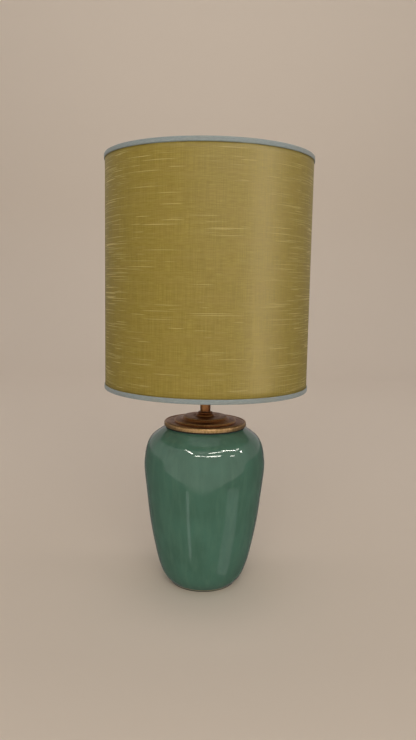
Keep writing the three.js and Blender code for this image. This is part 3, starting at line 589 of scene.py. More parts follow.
# %% Vase
BELOW_BELLY = ((0.19, 0.057), (0.34, 0.125), (0.515, 0.26), (0.753, 0.53), (0.905, 0.8))
ABOVE_BELLY = ((0.973, 0.283), (0.907, 0.478), (0.803, 0.619), (0.667, 0.717), (0.467, 0.8), (0.28, 0.867),
               (0.113, 0.92))
SHOULDER_H = 56.5
FOOT_R = 43.0
FOOT_EDGE = 1.4
FOOT_RING_W = 9.0
RECESS_DEPTH = 15.0
VASE_FLOOR = 7.5
VASE_WALL = 6.5
LIP_R = 46.2
MOUTH_R = 37.0
DISC_SEAT = 8.3
ROD_HOLE_R = 5.3
SIDE_STEPS = 110
OUTLET_R = 5.0

z_foot, z_lip, vase_r = reach("vase")
z_belly = z_lip - SHOULDER_H
low_points = [(FOOT_R + out * (vase_r - FOOT_R), z_foot + up * (z_belly - z_foot)) for out, up in BELOW_BELLY]
high_points = [(LIP_R + out * (vase_r - LIP_R), z_belly + up * SHOULDER_H) for out, up in ABOVE_BELLY]
side_points = [(FOOT_R, z_foot + FOOT_EDGE), *low_points, (vase_r, z_belly), *high_points]
side = smooth_line([Vector(p) for p in side_points], SIDE_STEPS)
z_recess = z_foot + RECESS_DEPTH
z_floor = z_recess + VASE_FLOOR
inside = [p for p in beside(side, VASE_WALL) if p.y > z_floor + 3 and p.x > MOUTH_R + 6]
outline = [
    (ROD_HOLE_R, z_recess, 0.4), (FOOT_R - FOOT_RING_W, z_recess, 2.0), (FOOT_R - FOOT_RING_W, z_foot, 0.8),
    (FOOT_R - FOOT_EDGE, z_foot), *[tuple(p) for p in side],
    (LIP_R, z_lip, 1.0), (MOUTH_R, z_lip, 0.8), (MOUTH_R, z_lip - DISC_SEAT, 0.5),
    *[tuple(p) for p in reversed(inside)],
    (inside[0].x - 3, z_floor, 2.0), (ROD_HOLE_R, z_floor, 0.4),
]
outlet_low, outlet_high = corners_of("cord_grommet")
z_outlet = (outlet_low.z + outlet_high.z) / 2
body_of_vase = cut(turned(outline, 160), drill(OUTLET_R, (0, 30, z_outlet), (0, 80, z_outlet)))
piece("glazed_vase", body_of_vase, "glaze", "base", "vase")

# %% [markdown]
# ## Foot pad and cord outlet
# The pad is a disc of felt glued under the foot ring. The outlet is a rubber ring whose flange lies against
# the wall of the vase. It is turned on a straight axis first, and then each point moves along the axis by as
# much as the wall curves away there, which makes the flange follow the vase while its bore stays level.

# %% Foot pad and cord outlet
pad_low, pad_high, pad_r = reach("felt_pad")
pad = turned([(0, pad_low), (pad_r, pad_low, 0.45), (pad_r, pad_high, 0.35), (0, pad_high)], 128)
piece("foot_felt", pad, "felt", "base", "felt_pad")


def wall_radius(z):
    """Outer radius of the vase at a height."""
    below, above = next((a, b) for a, b in zip(side, side[1:]) if b.y > z)
    share = (z - below.y) / (above.y - below.y)
    return below.x + share * (above.x - below.x)


GROMMET_FLANGE_R = 7.2
GROMMET_BORE_R = 3.4
GROMMET_NECK_R = 4.7
GROMMET_NECK_L = 8.5
FLANGE_BACK, FLANGE_FACE = 0.3, 1.8

ring = turned([
    (GROMMET_BORE_R, -GROMMET_NECK_L, 0.5), (GROMMET_NECK_R, -GROMMET_NECK_L, 0.5),
    (GROMMET_NECK_R, FLANGE_BACK), (GROMMET_FLANGE_R, FLANGE_BACK, 0.3),
    (GROMMET_FLANGE_R, FLANGE_FACE, 0.9), (GROMMET_BORE_R, FLANGE_FACE, 0.8),
], 48)
stay(ring, Matrix.Translation((0, 0, z_outlet)) @ Matrix.Rotation(math.radians(-90), 4, "X"))
long_edges = [edge for edge in ring.edges if edge.calc_length() > 1.2]
bmesh.ops.subdivide_edges(ring, edges=long_edges, cuts=2, use_grid_fill=True)
for vert in ring.verts:
    vert.co.y += math.sqrt(wall_radius(vert.co.z) ** 2 - vert.co.x ** 2)
piece("outlet_ring", tidy(ring), "rubber", "base", "cord_grommet")

# %% [markdown]
# ## Vase cap, collar and neck
# The cap is spun from one disc of sheet over a wooden former: a bright rim with a rolled groove inside it,
# then two shallow steps up to the middle. The outline is the sheet's top and underside with every fold
# rounded, since sheet can't be folded sharp. The collar and the neck are turned from bar and tube.

# %% Vase cap
SHEET = 1.2
CAP_EDGE = 1.3
STEP_1_R, STEP_2_R = 38.4, 27.4
STEP_1_RISE, STEP_2_RISE, DOME_RISE = 2.3, 3.0, 1.2
GROOVE_R = 48.8
GROOVE_DEPTH = 0.8
INNER_GROOVE_R = 14.2

z_rim, z_cap, cap_r = reach("vase_cap")
z_ring_2 = z_cap - STEP_2_RISE
z_ring_1 = z_ring_2 - DOME_RISE
z_ring = z_ring_1 - STEP_1_RISE
sheet_top = [
    (cap_r, z_rim, 0.35), (cap_r, z_ring, CAP_EDGE), (cap_r - 1.6, z_ring, 0.3),
    (GROOVE_R, z_ring - GROOVE_DEPTH, 0.5), (GROOVE_R - 1.4, z_ring, 0.5),
    (STEP_1_R + 1.3, z_ring - 0.25, 0.4), (STEP_1_R, z_ring_1, 0.4), (STEP_1_R - 2.2, z_ring_1 + 0.05, 0.4),
    (STEP_2_R + 1.5, z_ring_2, 0.5), (STEP_2_R, z_cap, 0.7), (STEP_2_R - 7, z_cap - 0.05),
    (INNER_GROOVE_R + 0.8, z_cap - 0.02, 0.3), (INNER_GROOVE_R, z_cap - 0.45, 0.25),
    (INNER_GROOVE_R - 0.8, z_cap - 0.02, 0.3), (ROD_HOLE_R, z_cap),
]
sheet_underside = [
    (ROD_HOLE_R, z_cap - SHEET), (STEP_2_R - 1.8, z_cap - SHEET, 0.3),
    (STEP_2_R - 1.2, z_ring_2 - SHEET, 0.3), (STEP_1_R - 1.8, z_ring_1 - SHEET, 0.3),
    (STEP_1_R - 1.2, z_ring - SHEET, 0.3), (GROOVE_R - 2, z_ring - SHEET, 0.3),
    (GROOVE_R, z_ring - SHEET - GROOVE_DEPTH, 0.3), (cap_r - SHEET, z_ring - SHEET - GROOVE_DEPTH, 0.2),
    (cap_r - SHEET, z_rim, 0.35),
]
piece("spun_cap", turned(sheet_top + sheet_underside, 160), "aged_brass", "base", "vase_cap")

# %% [markdown]
# Under the cap lies a rubber ring. Its flat part rests on the lip, and its skirt fills the gap between the
# rim and the shoulder of the vase, where it shows as a thin black line. That line is partly painted shade:
# the black skirt stands where the shade under the rim falls. Its lower edge follows the shoulder.

# %% Gasket under the cap
GASKET_T = 0.8
SKIRT_T = 1.8
SKIRT_CLEAR = 0.4

_, z_gasket_top, gasket_r = reach("cap_gasket")
z_gasket = z_gasket_top - GASKET_T
skirt_in = gasket_r - SKIRT_T
shoulder = [p for p in side if p.y > z_belly] + [Vector((LIP_R + 0.4, z_lip - 2.3))]


def shoulder_height(radius):
    """Height of the vase's shoulder at a radius."""
    outer, inner = next((a, b) for a, b in zip(shoulder, shoulder[1:]) if b.x < radius)
    return inner.y + (radius - inner.x) / (outer.x - inner.x) * (outer.y - inner.y)


skirt_low_in, skirt_low_out = (shoulder_height(r) + SKIRT_CLEAR for r in (skirt_in, gasket_r))
gasket_outline = [
    (MOUTH_R + 2, z_gasket, 0.2), (LIP_R + 0.3, z_gasket, 0.3), (skirt_in, z_gasket - GASKET_T, 0.3),
    (skirt_in, skirt_low_in, 0.2), (gasket_r, skirt_low_out, 0.3),
    (gasket_r, z_gasket, 0.3), (skirt_in, z_gasket, 0.3), (LIP_R + 0.3, z_gasket_top, 0.3),
    (MOUTH_R + 2, z_gasket_top, 0.2),
]
# The skirt's black line stands partly for the shade under the cap's rim: painted shade.
piece("rim_shade_skirt", turned(gasket_outline, 160), "rubber", "base", "cap_gasket")

# %% Collar and neck
COLLAR_WAIST_R = 8.6
COLLAR_HEAD_R = 9.2

z_low, z_high, collar_r = reach("collar")
collar_outline = [
    (ROD_HOLE_R, z_low), (collar_r, z_low, 0.4), (collar_r, z_low + 1.0, 0.5),
    (collar_r - 0.8, z_low + 1.4, 0.2), (collar_r - 1.0, z_low + 1.9, 0.3),
    (COLLAR_WAIST_R + 0.3, z_low + 2.7, 0.6), (COLLAR_WAIST_R, z_low + 3.3, 0.3),
    (COLLAR_HEAD_R, z_low + 3.7, 0.3), (COLLAR_HEAD_R, z_high - 0.4, 0.35),
    (COLLAR_HEAD_R - 0.6, z_high, 0.25), (ROD_HOLE_R, z_high),
]
piece("turned_collar", turned(collar_outline, 96), "aged_brass", "base", "collar")

z_low, z_high, neck_r = reach("neck_sleeve")
neck_outline = [(ROD_HOLE_R, z_low), (neck_r, z_low, 0.4), (neck_r, z_high, 0.4), (ROD_HOLE_R, z_high)]
piece("brass_neck", turned(neck_outline, 96), "aged_brass", "base", "neck_sleeve")

# %% [markdown]
# ## Lampholder
# Three mouldings in black bakelite: a domed cap held on the rod by a grub screw, the skirt with the outer
# thread that the shade's rings run on, and the rings. The skirt has a round hole on each side for the bar.
# The threads are drawn as separate rings, 2 mm apart, since a helix would look the same from outside.

# %% Holder cap and skirt
HOLDER_NECK_R = 9.0
HOLDER_BORE_R = 18.0
THREAD_STEP = 2.0
THREAD_CUT = 0.7
DOME_T = 2.2
GRUB_R, GRUB_HOLE_R = 1.5, 1.8
BAR_HOLE_R = 2.6

z_low, z_high, holder_r = reach("holder_cap")
dome_points = ((HOLDER_NECK_R, z_low + 6), (14.6, z_low + 9.6), (holder_r - 0.8, z_low + 13.6),
               (holder_r, z_low + 17))
dome = smooth_line([Vector(p) for p in dome_points], 24)
inner_dome = beside(dome, DOME_T)[2:]
holder_outline = [
    (ROD_HOLE_R, z_low), (HOLDER_NECK_R, z_low, 0.6), *[tuple(p) for p in dome], (holder_r, z_high, 0.3),
    (HOLDER_BORE_R, z_high), *[tuple(p) for p in reversed(inner_dome)], (ROD_HOLE_R, inner_dome[0].y),
]
grub_low, grub_high = corners_of("grub_screw")
z_grub = (grub_low.z + grub_high.z) / 2
holder = cut(turned(holder_outline), drill(GRUB_HOLE_R, (0, 0, z_grub), (0, 20, z_grub), 24))
piece("holder_dome", holder, "bakelite", "base", "holder_cap")

grub = turned([(0, grub_low.y), (GRUB_R, grub_low.y, 0.2), (GRUB_R, grub_high.y, 0.25), (0.7, grub_high.y),
               (0.7, grub_high.y - 1.2), (0, grub_high.y - 1.2)], 24)
stay(grub, Matrix.Translation((0, 0, z_grub)) @ Matrix.Rotation(math.radians(-90), 4, "X"))
piece("grub", grub, "zinc_steel", "base", "grub_screw")

z_low, z_high, skirt_r = reach("holder_skirt")
z_bar = sum(corner.z for corner in corners_of("push_bar")) / 2
threads = [(skirt_r, z_low + 10.5)]
z = z_low + 11.5
while z < z_high - 2.2:
    threads += [(skirt_r - THREAD_CUT, z, 0.15), (skirt_r - THREAD_CUT, z + 0.4, 0.15),
                (skirt_r, z + 0.9, 0.15), (skirt_r, z + 1.3, 0.15)]
    z += THREAD_STEP
skirt_outline = [(HOLDER_BORE_R, z_low), (skirt_r, z_low, 0.3), *threads, (skirt_r - 0.6, z_high - 0.9, 0.2),
                 (skirt_r - 0.6, z_high, 0.4), (HOLDER_BORE_R, z_high, 0.5)]
skirt = cut(turned(skirt_outline), drill(BAR_HOLE_R, (-40, 0, z_bar), (40, 0, z_bar)))
piece("threaded_skirt", skirt, "bakelite", "base", "holder_skirt")

# %% Ring nuts
GRIPS = 18
GRIP_DEPTH = 0.9
NUT_BORE_R = 20.5
DISH_IN_R, DISH_OUT_R = 22.2, 25.5  # the shallow dish in the ring's top
GRIP_FOOT_R = 26.0  # the grips fade out at this radius


def ring_nut(name, node):
    """A moulded ring with rounded edges, scalloped by moving its points inwards between the grips."""
    z_low, z_high, nut_r = reach(node)
    bm = turned([
        (NUT_BORE_R, z_low, 0.4), (nut_r, z_low, 0.7), (nut_r, z_high, 0.7), (DISH_OUT_R, z_high, 0.2),
        (DISH_OUT_R - 0.6, z_high - 0.5, 0.2), (DISH_IN_R + 0.6, z_high - 0.5, 0.2),
        (DISH_IN_R, z_high, 0.2), (NUT_BORE_R, z_high, 0.4),
    ], 216)
    for vert in bm.verts:
        radius = math.hypot(vert.co.x, vert.co.y)
        hollow = (0.5 - 0.5 * math.cos(GRIPS * math.atan2(vert.co.y, vert.co.x))) ** 2
        share = max(0, (radius - GRIP_FOOT_R) / (nut_r - GRIP_FOOT_R))
        shrink = 1 - GRIP_DEPTH * hollow * share / radius
        vert.co.x, vert.co.y = vert.co.x * shrink, vert.co.y * shrink
    return piece(name, bm, "bakelite", "base", node)


ring_nut("lower_ring", "ring_nut_lower")
ring_nut("upper_ring", "ring_nut_upper")

# %% [markdown]
# ## Screw threads of socket and bulb
# Both are rolled from thin sheet, so inside and outside follow the same wave. One function draws the wave
# for either, with the crests as far apart as on any household bulb.

# %% Screw threads of socket and bulb
THREAD_PITCH = 3.6
THREAD_DEPTH = 0.9
SHELL_T = 0.6


def rolled_thread(crest_r, z_low, z_high, sheet, steps=8):
    """The outline of a rolled sheet thread, from its lowest point up and back down inside."""
    count = int((z_high - z_low) / THREAD_PITCH) * steps
    outer = []
    for i in range(count + 1):
        swell = 0.5 - 0.5 * math.cos(2 * math.pi * i / steps)
        outer.append((crest_r + THREAD_DEPTH * swell, z_low + i * THREAD_PITCH / steps))
    outer.append((crest_r, z_high))
    return outer + [(r - sheet, z) for r, z in reversed(outer)]


z_low, z_high, shell_r = reach("screw_shell")
shell = turned(rolled_thread(shell_r - THREAD_DEPTH, z_low, z_high, SHELL_T))
piece("brass_shell", shell, "bright_brass", "base", "screw_shell")

# %% [markdown]
# ## Push-through switch
# One brass bar goes right through the holder, with a bakelite button on each end. The bar's middle has a
# notch where the contact rocker sits. The bar is a bevelled cylinder, notched; the buttons are turned with
# a domed end and a shallow ring that a fingertip can feel.

# %% Push-through switch
BAR_R = 2.2
NOTCH = (4.4, 10, 4.5)
NOTCH_DROP = 1.55
BUTTON_R = 3.6

bar_low, bar_high = corners_of("push_bar")
bar = turned([(0, bar_low.x), (BAR_R, bar_low.x, 0.3), (BAR_R, bar_high.x, 0.3), (0, bar_high.x)], 32)
stay(bar, Matrix.Translation((0, 0, z_bar)) @ Matrix.Rotation(math.radians(90), 4, "Y"))
notch = bmesh.new()
bmesh.ops.create_cube(notch, size=1)
x_middle = (bar_low.x + bar_high.x) / 2
stay(notch, Matrix.Translation((x_middle, 0, z_bar - NOTCH_DROP)) @ Matrix.Diagonal((*NOTCH, 1)))
piece("switch_bar", cut(bar, notch), "bright_brass", "switch_bar", "push_bar")


def button(name, node, side):
    """A button on the left (-1) or right (1) end of the bar, turned along X."""
    low, high = corners_of(node)
    length = high.x - low.x
    start = low.x if side > 0 else high.x
    bm = turned([
        (0, 0), (2.9, 0, 0.2), (BUTTON_R, 0.9, 0.4), (BUTTON_R, length - 2.4, 0.4),
        (BUTTON_R - 0.3, length - 2.0, 0.1), (BUTTON_R - 0.3, length - 1.7, 0.1),
        (BUTTON_R - 0.1, length - 1.4, 0.4), (2.3, length - 0.3, 0.9), (0, length),
    ], 48)
    turn = Matrix.Rotation(math.radians(90 * side), 4, "Y")
    stay(bm, Matrix.Translation((start, 0, z_bar)) @ turn)
    piece(name, bm, "bakelite", "switch_bar", node)


button("left_button", "push_button_left", -1)
button("right_button", "push_button_right", 1)

# %% [markdown]
# ## Bulb
# A pear-shaped glass with four phosphor-coated sticks on a glass stem, as in the bulbs that copy a
# filament. The glass has its real wall, with the outline's outside and inside. The lead wires are round
# wire, swept along a line.

# %% Bulb glass, cap and stem
GLASS_T = 0.8
GLASS_NECK_R = 11.3
CAP_T = 0.7

z_glass, z_top, glass_r = reach("bulb_glass")
z_ball = z_top - glass_r
flare_points = (
    (GLASS_NECK_R, z_glass), (GLASS_NECK_R, z_glass + 9), (GLASS_NECK_R + 1.6, z_glass + 17),
    (GLASS_NECK_R + 9.5, z_glass + 33), (glass_r - 2.2, z_ball - 12), (glass_r, z_ball),
)
flare = smooth_line([Vector(p) for p in flare_points], 40)
crown = [Vector((glass_r * math.cos(a), z_ball + glass_r * math.sin(a)))
         for a in (math.pi / 2 * i / 24 for i in range(1, 24))]
outside = flare + crown
within = beside(outside, GLASS_T)
glass_outline = [
    (0, z_top - GLASS_T), *[tuple(p) for p in reversed(within)], *[tuple(p) for p in outside], (0, z_top),
]
piece("blown_glass", turned(glass_outline, 96), "clear_glass", "bulb", "bulb_glass")

z_low, z_high, cap_thread_r = reach("bulb_cap")
cap_thread = rolled_thread(cap_thread_r - THREAD_DEPTH, z_low, z_high, CAP_T)
piece("rolled_cap", turned(cap_thread), "cap_metal", "bulb", "bulb_cap")

z_low, z_high, seat_r = reach("bulb_insulator")
seat = turned([
    (0, z_low), (5.2, z_low, 0.3), (6.5, z_low + 1.2, 0.5), (seat_r - 0.5, z_high - 0.8, 0.6),
    (seat_r - 0.4, z_high, 0.2), (0, z_high),
], 64)
piece("black_seat", seat, "bakelite", "bulb", "bulb_insulator")

z_low, z_high, tip_r = reach("bulb_contact")
tip = turned([
    (0, z_low), (2.0, z_low + 0.1, 0.5), (tip_r, z_low + 0.9, 0.4), (tip_r, z_high, 0.2), (0, z_high),
], 48)
piece("solder_tip", tip, "cap_metal", "bulb", "bulb_contact")

z_low, z_stem, stem_base_r = reach("bulb_stem")
stem = turned([
    (0, z_low), (stem_base_r - 0.3, z_low, 0.4), (7.0, z_low + 2.6, 1.2), (4.2, z_low + 6, 1.5),
    (3.6, z_low + 13, 2.0), (2.3, z_stem - 3, 1.0), (2.4, z_stem, 0.9), (0, z_stem),
], 48)
piece("glass_stem", stem, "clear_glass", "bulb", "bulb_stem")

# %% Filaments and their wires
WIRE_R = 0.28
FILAMENT_RING_R = 8.5
FILAMENT_TILT = 0.15
FILAMENTS = 4
FILAMENT_HALF = 16.0


def wire(name, paths, radius, slot, body, *replaced, sides=8):
    """Round wire along one or more smooth lines, as a curve with a round section, made a mesh."""
    curve = bpy.data.curves.new(name, "CURVE")
    curve.dimensions = "3D"
    curve.bevel_depth = radius * MM
    curve.bevel_resolution = sides // 4
    curve.use_fill_caps = True
    for path in paths:
        spline = curve.splines.new("POLY")
        spline.points.add(len(path) - 1)
        for point, place in zip(spline.points, path):
            point.co = (*(place * MM), 1)
    rod = bpy.data.objects.new(name + "_line", curve)
    bpy.context.scene.collection.objects.link(rod)
    bm = bmesh.new()
    bm.from_mesh(rod.evaluated_get(bpy.context.evaluated_depsgraph_get()).to_mesh())
    bpy.data.objects.remove(rod)
    bmesh.ops.scale(bm, vec=(1 / MM,) * 3, verts=bm.verts)
    return piece(name, tidy(bm), slot, body, *replaced)


z_low, z_high, _ = reach("led_filament_1")
filament_middle = (z_low + z_high) / 2
leads = []
for i in range(FILAMENTS):
    turn = Matrix.Rotation((i + 0.5) * 2 * math.pi / FILAMENTS, 4, "Z")
    stick = turned([
        (0, -FILAMENT_HALF), (0.9, -FILAMENT_HALF, 0.5), (1.0, 2 - FILAMENT_HALF),
        (1.0, FILAMENT_HALF - 2), (0.9, FILAMENT_HALF, 0.5), (0, FILAMENT_HALF),
    ], 16)
    stand = Matrix.Translation((FILAMENT_RING_R, 0, filament_middle))
    lean = stand @ Matrix.Rotation(-FILAMENT_TILT, 4, "Y")
    piece(f"phosphor_stick_{i + 1}", stay(stick, turn @ lean), "phosphor", "bulb", f"led_filament_{i + 1}")
    foot, head = (turn @ lean @ Vector((0, 0, s * (FILAMENT_HALF - 0.8))) for s in (-1, 1))
    low_line = [Vector((0, 0, z_stem - 2)), turn @ Vector((3, 0, z_stem + 2)), foot - Vector((0, 0, 1)), foot]
    high_bend, high_end = turn @ Vector((2, 0, z_high + 1.8)), Vector((0, 0, z_high + 2))
    high_line = [head, head + Vector((0, 0, 1)), high_bend, high_end]
    leads += [smooth_line(low_line, 12), smooth_line(high_line, 12)]
wire("lead_wires", leads, WIRE_R, "zinc_steel", "bulb")

# %% [markdown]
# ## Shade carrier
# A pressed ring that the two ring nuts clamp, three arms of round wire welded to it, and a wire ring in each
# edge of the shade. The arms drop outwards and end on the lower ring.

# %% Shade carrier
HUB_BORE_R = 20.5
PRESSED_IN_R, PRESSED_OUT_R = 22.8, 26.8  # the pressed groove in the hub's top
ARM_WIRE_R = 1.8
ARMS = 3

z_low, z_high, hub_r = reach("carrier_hub")
hub = turned([
    (HUB_BORE_R, z_low, 0.3), (hub_r, z_low, 0.5), (hub_r, z_high, 0.5), (PRESSED_OUT_R, z_high, 0.3),
    (PRESSED_OUT_R - 0.6, z_high - 0.3, 0.2), (PRESSED_IN_R + 0.6, z_high - 0.3, 0.2),
    (PRESSED_IN_R, z_high, 0.3), (HUB_BORE_R, z_high, 0.3),
], 96)
piece("pressed_hub", hub, "white_wire", "shade", "carrier_hub")
z_hub = (z_low + z_high) / 2

ring_low, ring_high, ring_r = reach("shade_ring_lower")
wire_r = (ring_high - ring_low) / 2
arm_end_r = ring_r - wire_r + ARM_WIRE_R / 2
z_arm_end = ring_high + 0.3 + ARM_WIRE_R
for i in range(ARMS):
    turn = Matrix.Rotation(math.pi / 2 + i * 2 * math.pi / ARMS, 4, "Z")
    start_r = hub_r + 0.2
    line = [Vector((r, 0, z)) for r, z in (
        (start_r, z_hub), (start_r + 12, z_hub), (arm_end_r - 14, z_arm_end + 1), (arm_end_r, z_arm_end))]
    path = [turn @ p for p in smooth_line(line, 40)]
    wire(f"wire_arm_{i + 1}", [path], ARM_WIRE_R, "white_wire", "shade", f"carrier_arm_{i + 1}", sides=16)
for name, node in (("lower_wire", "shade_ring_lower"), ("upper_wire", "shade_ring_upper")):
    z_low, z_high, _ = reach(node)
    middle_r = ring_r - wire_r
    circle = [(middle_r + wire_r * math.cos(a), (z_low + z_high) / 2 + wire_r * math.sin(a))
              for a in (2 * math.pi * k / 12 for k in range(12))]
    piece(name, turned(circle, 160), "white_wire", "shade", node)

# %% [markdown]
# ## Silk and lining
# Card and silk are cut flat, stuck together and rolled into a drum. The ends of the card meet, and the silk
# overlaps at the back by a finger's width. So each starts as a flat grid that keeps its flat place as its UV
# map, and is then rolled. Near the end of the roll the silk's radius grows by the cloth's thickness, which
# makes the overlap. A Solidify modifier gives each sheet its thickness.

# %% Silk and lining
SEAM = 12.0
SEAM_RAMP = 4.0
CLOTH_T = 0.5
CARD_T = 0.6


def flat_sheet(width, height, across, up, place):
    """A flat grid that keeps its flat place as its UV map, with each point then moved to place(x, y)."""
    bm = bmesh.new()
    bmesh.ops.create_grid(bm, x_segments=across, y_segments=up, size=0.5)
    bmesh.ops.scale(bm, vec=(width, height, 1), verts=bm.verts)
    layer = bm.loops.layers.uv.new("cloth")
    for face in bm.faces:
        face.smooth = True
        for loop in face.loops:
            loop[layer].uv = ((loop.vert.co.x + width / 2) * MM, (loop.vert.co.y + height / 2) * MM)
    for vert in bm.verts:
        vert.co = place(vert.co.x, vert.co.y)
    return bm


def seam_lift(x, width, thickness):
    """How far the end of the roll lies over its start."""
    share = min(max((x - width / 2 + SEAM + SEAM_RAMP) / SEAM_RAMP, 0), 1)
    return thickness * share * share * (3 - 2 * share)


def on_drum(radius, turn, z):
    """A point of a rolled sheet, at an angle round the axis. Angle 0 is at the front."""
    return Vector((radius * math.sin(turn), -radius * math.cos(turn), z))


def thicken(obj, thickness, offset):
    solidify = obj.modifiers.new("thickness", "SOLIDIFY")
    solidify.thickness = thickness * MM
    solidify.offset = offset
    return obj


z_low, z_high, cloth_r = reach("shade_cloth")
cloth_width = 2 * math.pi * cloth_r + SEAM
cloth_height = z_high - z_low
z_middle = (z_low + z_high) / 2


def silk_place(x, y):
    return on_drum(cloth_r + seam_lift(x, cloth_width, CLOTH_T), x / cloth_r, z_middle + y)


silk_sheet = flat_sheet(cloth_width, cloth_height, 320, 24, silk_place)
silk = piece("silk_cover", silk_sheet, "silk", "shade", "shade_cloth")
thicken(silk, CLOTH_T, -1)
print("silk is cut to", round(cloth_width, 1), "by", round(cloth_height, 1), "mm")

card_low, card_high, card_r = reach("shade_lining")
card_width = 2 * math.pi * card_r
card = flat_sheet(card_width, card_high - card_low, 240, 8,
                  lambda x, y: on_drum(card_r, x / card_r, (card_low + card_high) / 2 + y))
bmesh.ops.remove_doubles(card, verts=card.verts, dist=0.01)
thicken(piece("card_lining", card, "lining", "shade", "shade_lining"), CARD_T, -1)

# %% [markdown]
# ## Bound edges
# A straight tape is glued along the outside of each edge, turned over the wire and glued down inside. Its
# section is a U with soft corners. A point's place across the tape says how far round the U it lies, and
# the tape swells a little between its glued edges. Its ends overlap at the back.

# %% Bound edges
TAPE_T = 0.5
TAPE_H = 5.4
TAPE_TURN_H = 3.4
TAPE_CORNER = 0.9
TAPE_SEAM = 10.0
TAPE_SWELL = 0.18
LAP_GAP = 0.05


def tape_section(out_r, in_r):
    """The U of the tape, from its outer edge down, across and up inside, as (radius, height) points."""
    line = [Vector((out_r, TAPE_H))]
    for x, towards in ((out_r, 0.0), (in_r, math.pi / 2)):
        middle = Vector((x - TAPE_CORNER if towards == 0 else x + TAPE_CORNER, TAPE_CORNER))
        for k in range(7):
            turn = -towards - math.pi / 2 * k / 6
            line.append(middle + TAPE_CORNER * Vector((math.cos(turn), math.sin(turn))))
    return line + [Vector((in_r, TAPE_TURN_H))]


def along(line, distance):
    """The point at a distance along a line of points."""
    for a, b in zip(line, line[1:]):
        step = (b - a).length
        if distance <= step:
            return a + (b - a) * (distance / step)
        distance -= step
    return line[-1]


def bind(name, node, edge_z, up):
    """Folds a tape over one edge of the drum. Up is 1 at the lower edge and -1 at the upper one."""
    _, _, tape_r = reach(node)
    out_r = tape_r - TAPE_T / 2
    in_r = ring_r - 2 * wire_r - 0.3 - TAPE_T / 2
    section = tape_section(out_r, in_r)
    depth = sum((b - a).length for a, b in zip(section, section[1:]))
    length = 2 * math.pi * out_r + TAPE_SEAM

    def place(x, y):
        share = depth / 2 - y * up
        spot = along(section, share)
        way = (spot - along(section, share - 0.1)).normalized()
        swell = TAPE_SWELL * math.sin(math.pi * min(spot.y / TAPE_H, 1)) if spot.x > (out_r + in_r) / 2 else 0
        over_start = seam_lift(x, length, TAPE_T + CLOTH_T + LAP_GAP)
        over_silk = seam_lift(-x, length, CLOTH_T)
        spot = spot + Vector((-way.y, way.x)) * (swell + over_start + over_silk)
        return on_drum(spot.x, x / out_r, edge_z + up * (spot.y + TAPE_T / 2))

    bm = flat_sheet(length, depth, 300, 36, place)
    if up < 0:
        bmesh.ops.reverse_faces(bm, faces=bm.faces)
    obj = piece(name, bm, "binding_tape", "shade", node)
    thicken(obj, TAPE_T, 0)
    print(name, "is cut to", round(length, 1), "by", round(depth, 1), "mm")


z_low, _, _ = reach("binding_lower")
_, z_high, _ = reach("binding_upper")
bind("lower_tape", "binding_lower", z_low, 1)
bind("upper_tape", "binding_upper", z_high, -1)

# %% [markdown]
# ## The pieces that keep their shape
# Washers, nut, rod, contacts, terminals and screws are inside the lamp, and their shapes are right already.
# Each takes the finish of its slot.

# %% The pieces that keep their shape
kept = 0
for part in frame["record"]["subparts"]:
    node = nodes[part["node"]]
    if not node.hide_render:
        node.data.materials.clear()
        node.data.materials.append(finishes[part["material_slot"]])
        kept += 1
print(kept, "nodes keep their shape")

# %% [markdown]
# ## Studio
# A pale floor curves up into a pale wall. The key light stands nearly in front of the lamp, a little above
# it. One light overhead and one turned to the wall keep floor and wall pale. What shiny surfaces mirror is
# set out with lights that show in reflections alone: a tall glow on the right that reaches only the silk,
# two dim cards low down, and ten small lamps in two rows, high in front and on the right. The floor is not
# seen in reflections and casts no shadow, so the cards can stand below it.

# %% Floor and wall
FLOOR_FRONT = -3.0
FLOOR_HALF_W = 5.0
WALL_BACK = 2.6
WALL_TOP = 4.0
SWEEP = 0.8

sweep = bmesh.new()
side_view = ((FLOOR_FRONT, 0), (WALL_BACK, 0), (WALL_BACK, WALL_TOP))
corner_verts = [sweep.verts.new((-FLOOR_HALF_W, y, z)) for y, z in side_view]
for pair in zip(corner_verts, corner_verts[1:]):
    sweep.edges.new(pair)
round_corners(sweep, [corner_verts[1]], SWEEP, 24)
strip = bmesh.ops.extrude_edge_only(sweep, edges=sweep.edges[:])["geom"]
far_side = [v for v in strip if isinstance(v, bmesh.types.BMVert)]
bmesh.ops.translate(sweep, vec=(2 * FLOOR_HALF_W, 0, 0), verts=far_side)
tidy(sweep)
mesh = bpy.data.meshes.new("floor")
sweep.to_mesh(mesh)
sweep.free()
floor = bpy.data.objects.new("floor", mesh)
bpy.context.scene.collection.objects.link(floor)
paper = bpy.data.materials.new("backdrop_paper")
paper.use_nodes = True
paper.node_tree.nodes["Principled BSDF"].inputs["Base Color"].default_value = linear("#e6ddd2")
paper.node_tree.nodes["Principled BSDF"].inputs["Roughness"].default_value = 0.9
mesh.materials.append(paper)
floor.visible_glossy = False
floor.visible_shadow = False
print("floor and wall are ready")

# %% Lights
WARM, NEUTRAL, PALE, COOL = "#fff1de", "#fff6ea", "#fffaf0", "#f4f3f6"
STAND = 2.0  # metres from the lamp to the key light, the glow and the cards
HIGH_STAND = 4.0
CEILING = 2.4
HIGH_LAMPS = (
    # azimuth, elevation, width, height, turn, power
    (-36, 40, 1.5, 0.12, -35, 24.0), (-6, 39, 0.6, 0.06, 0, 2.0), (25, 40, 1.7, 0.12, 6, 24.0),
    (60, 40, 1.9, 0.16, -30, 42.0), (54, 45, 1.1, 0.12, 25, 18.0), (80, 36, 0.25, 0.25, 0, 9.0),
    (-9, 27, 1.2, 0.13, 0, 15.0), (19, 26, 1.9, 0.2, 0, 40.0), (58, 19, 0.8, 0.12, 0, 8.0),
    (82, 23, 0.2, 0.2, 0, 7.0),
)
lamp_middle = (cad_low + cad_high) / 2


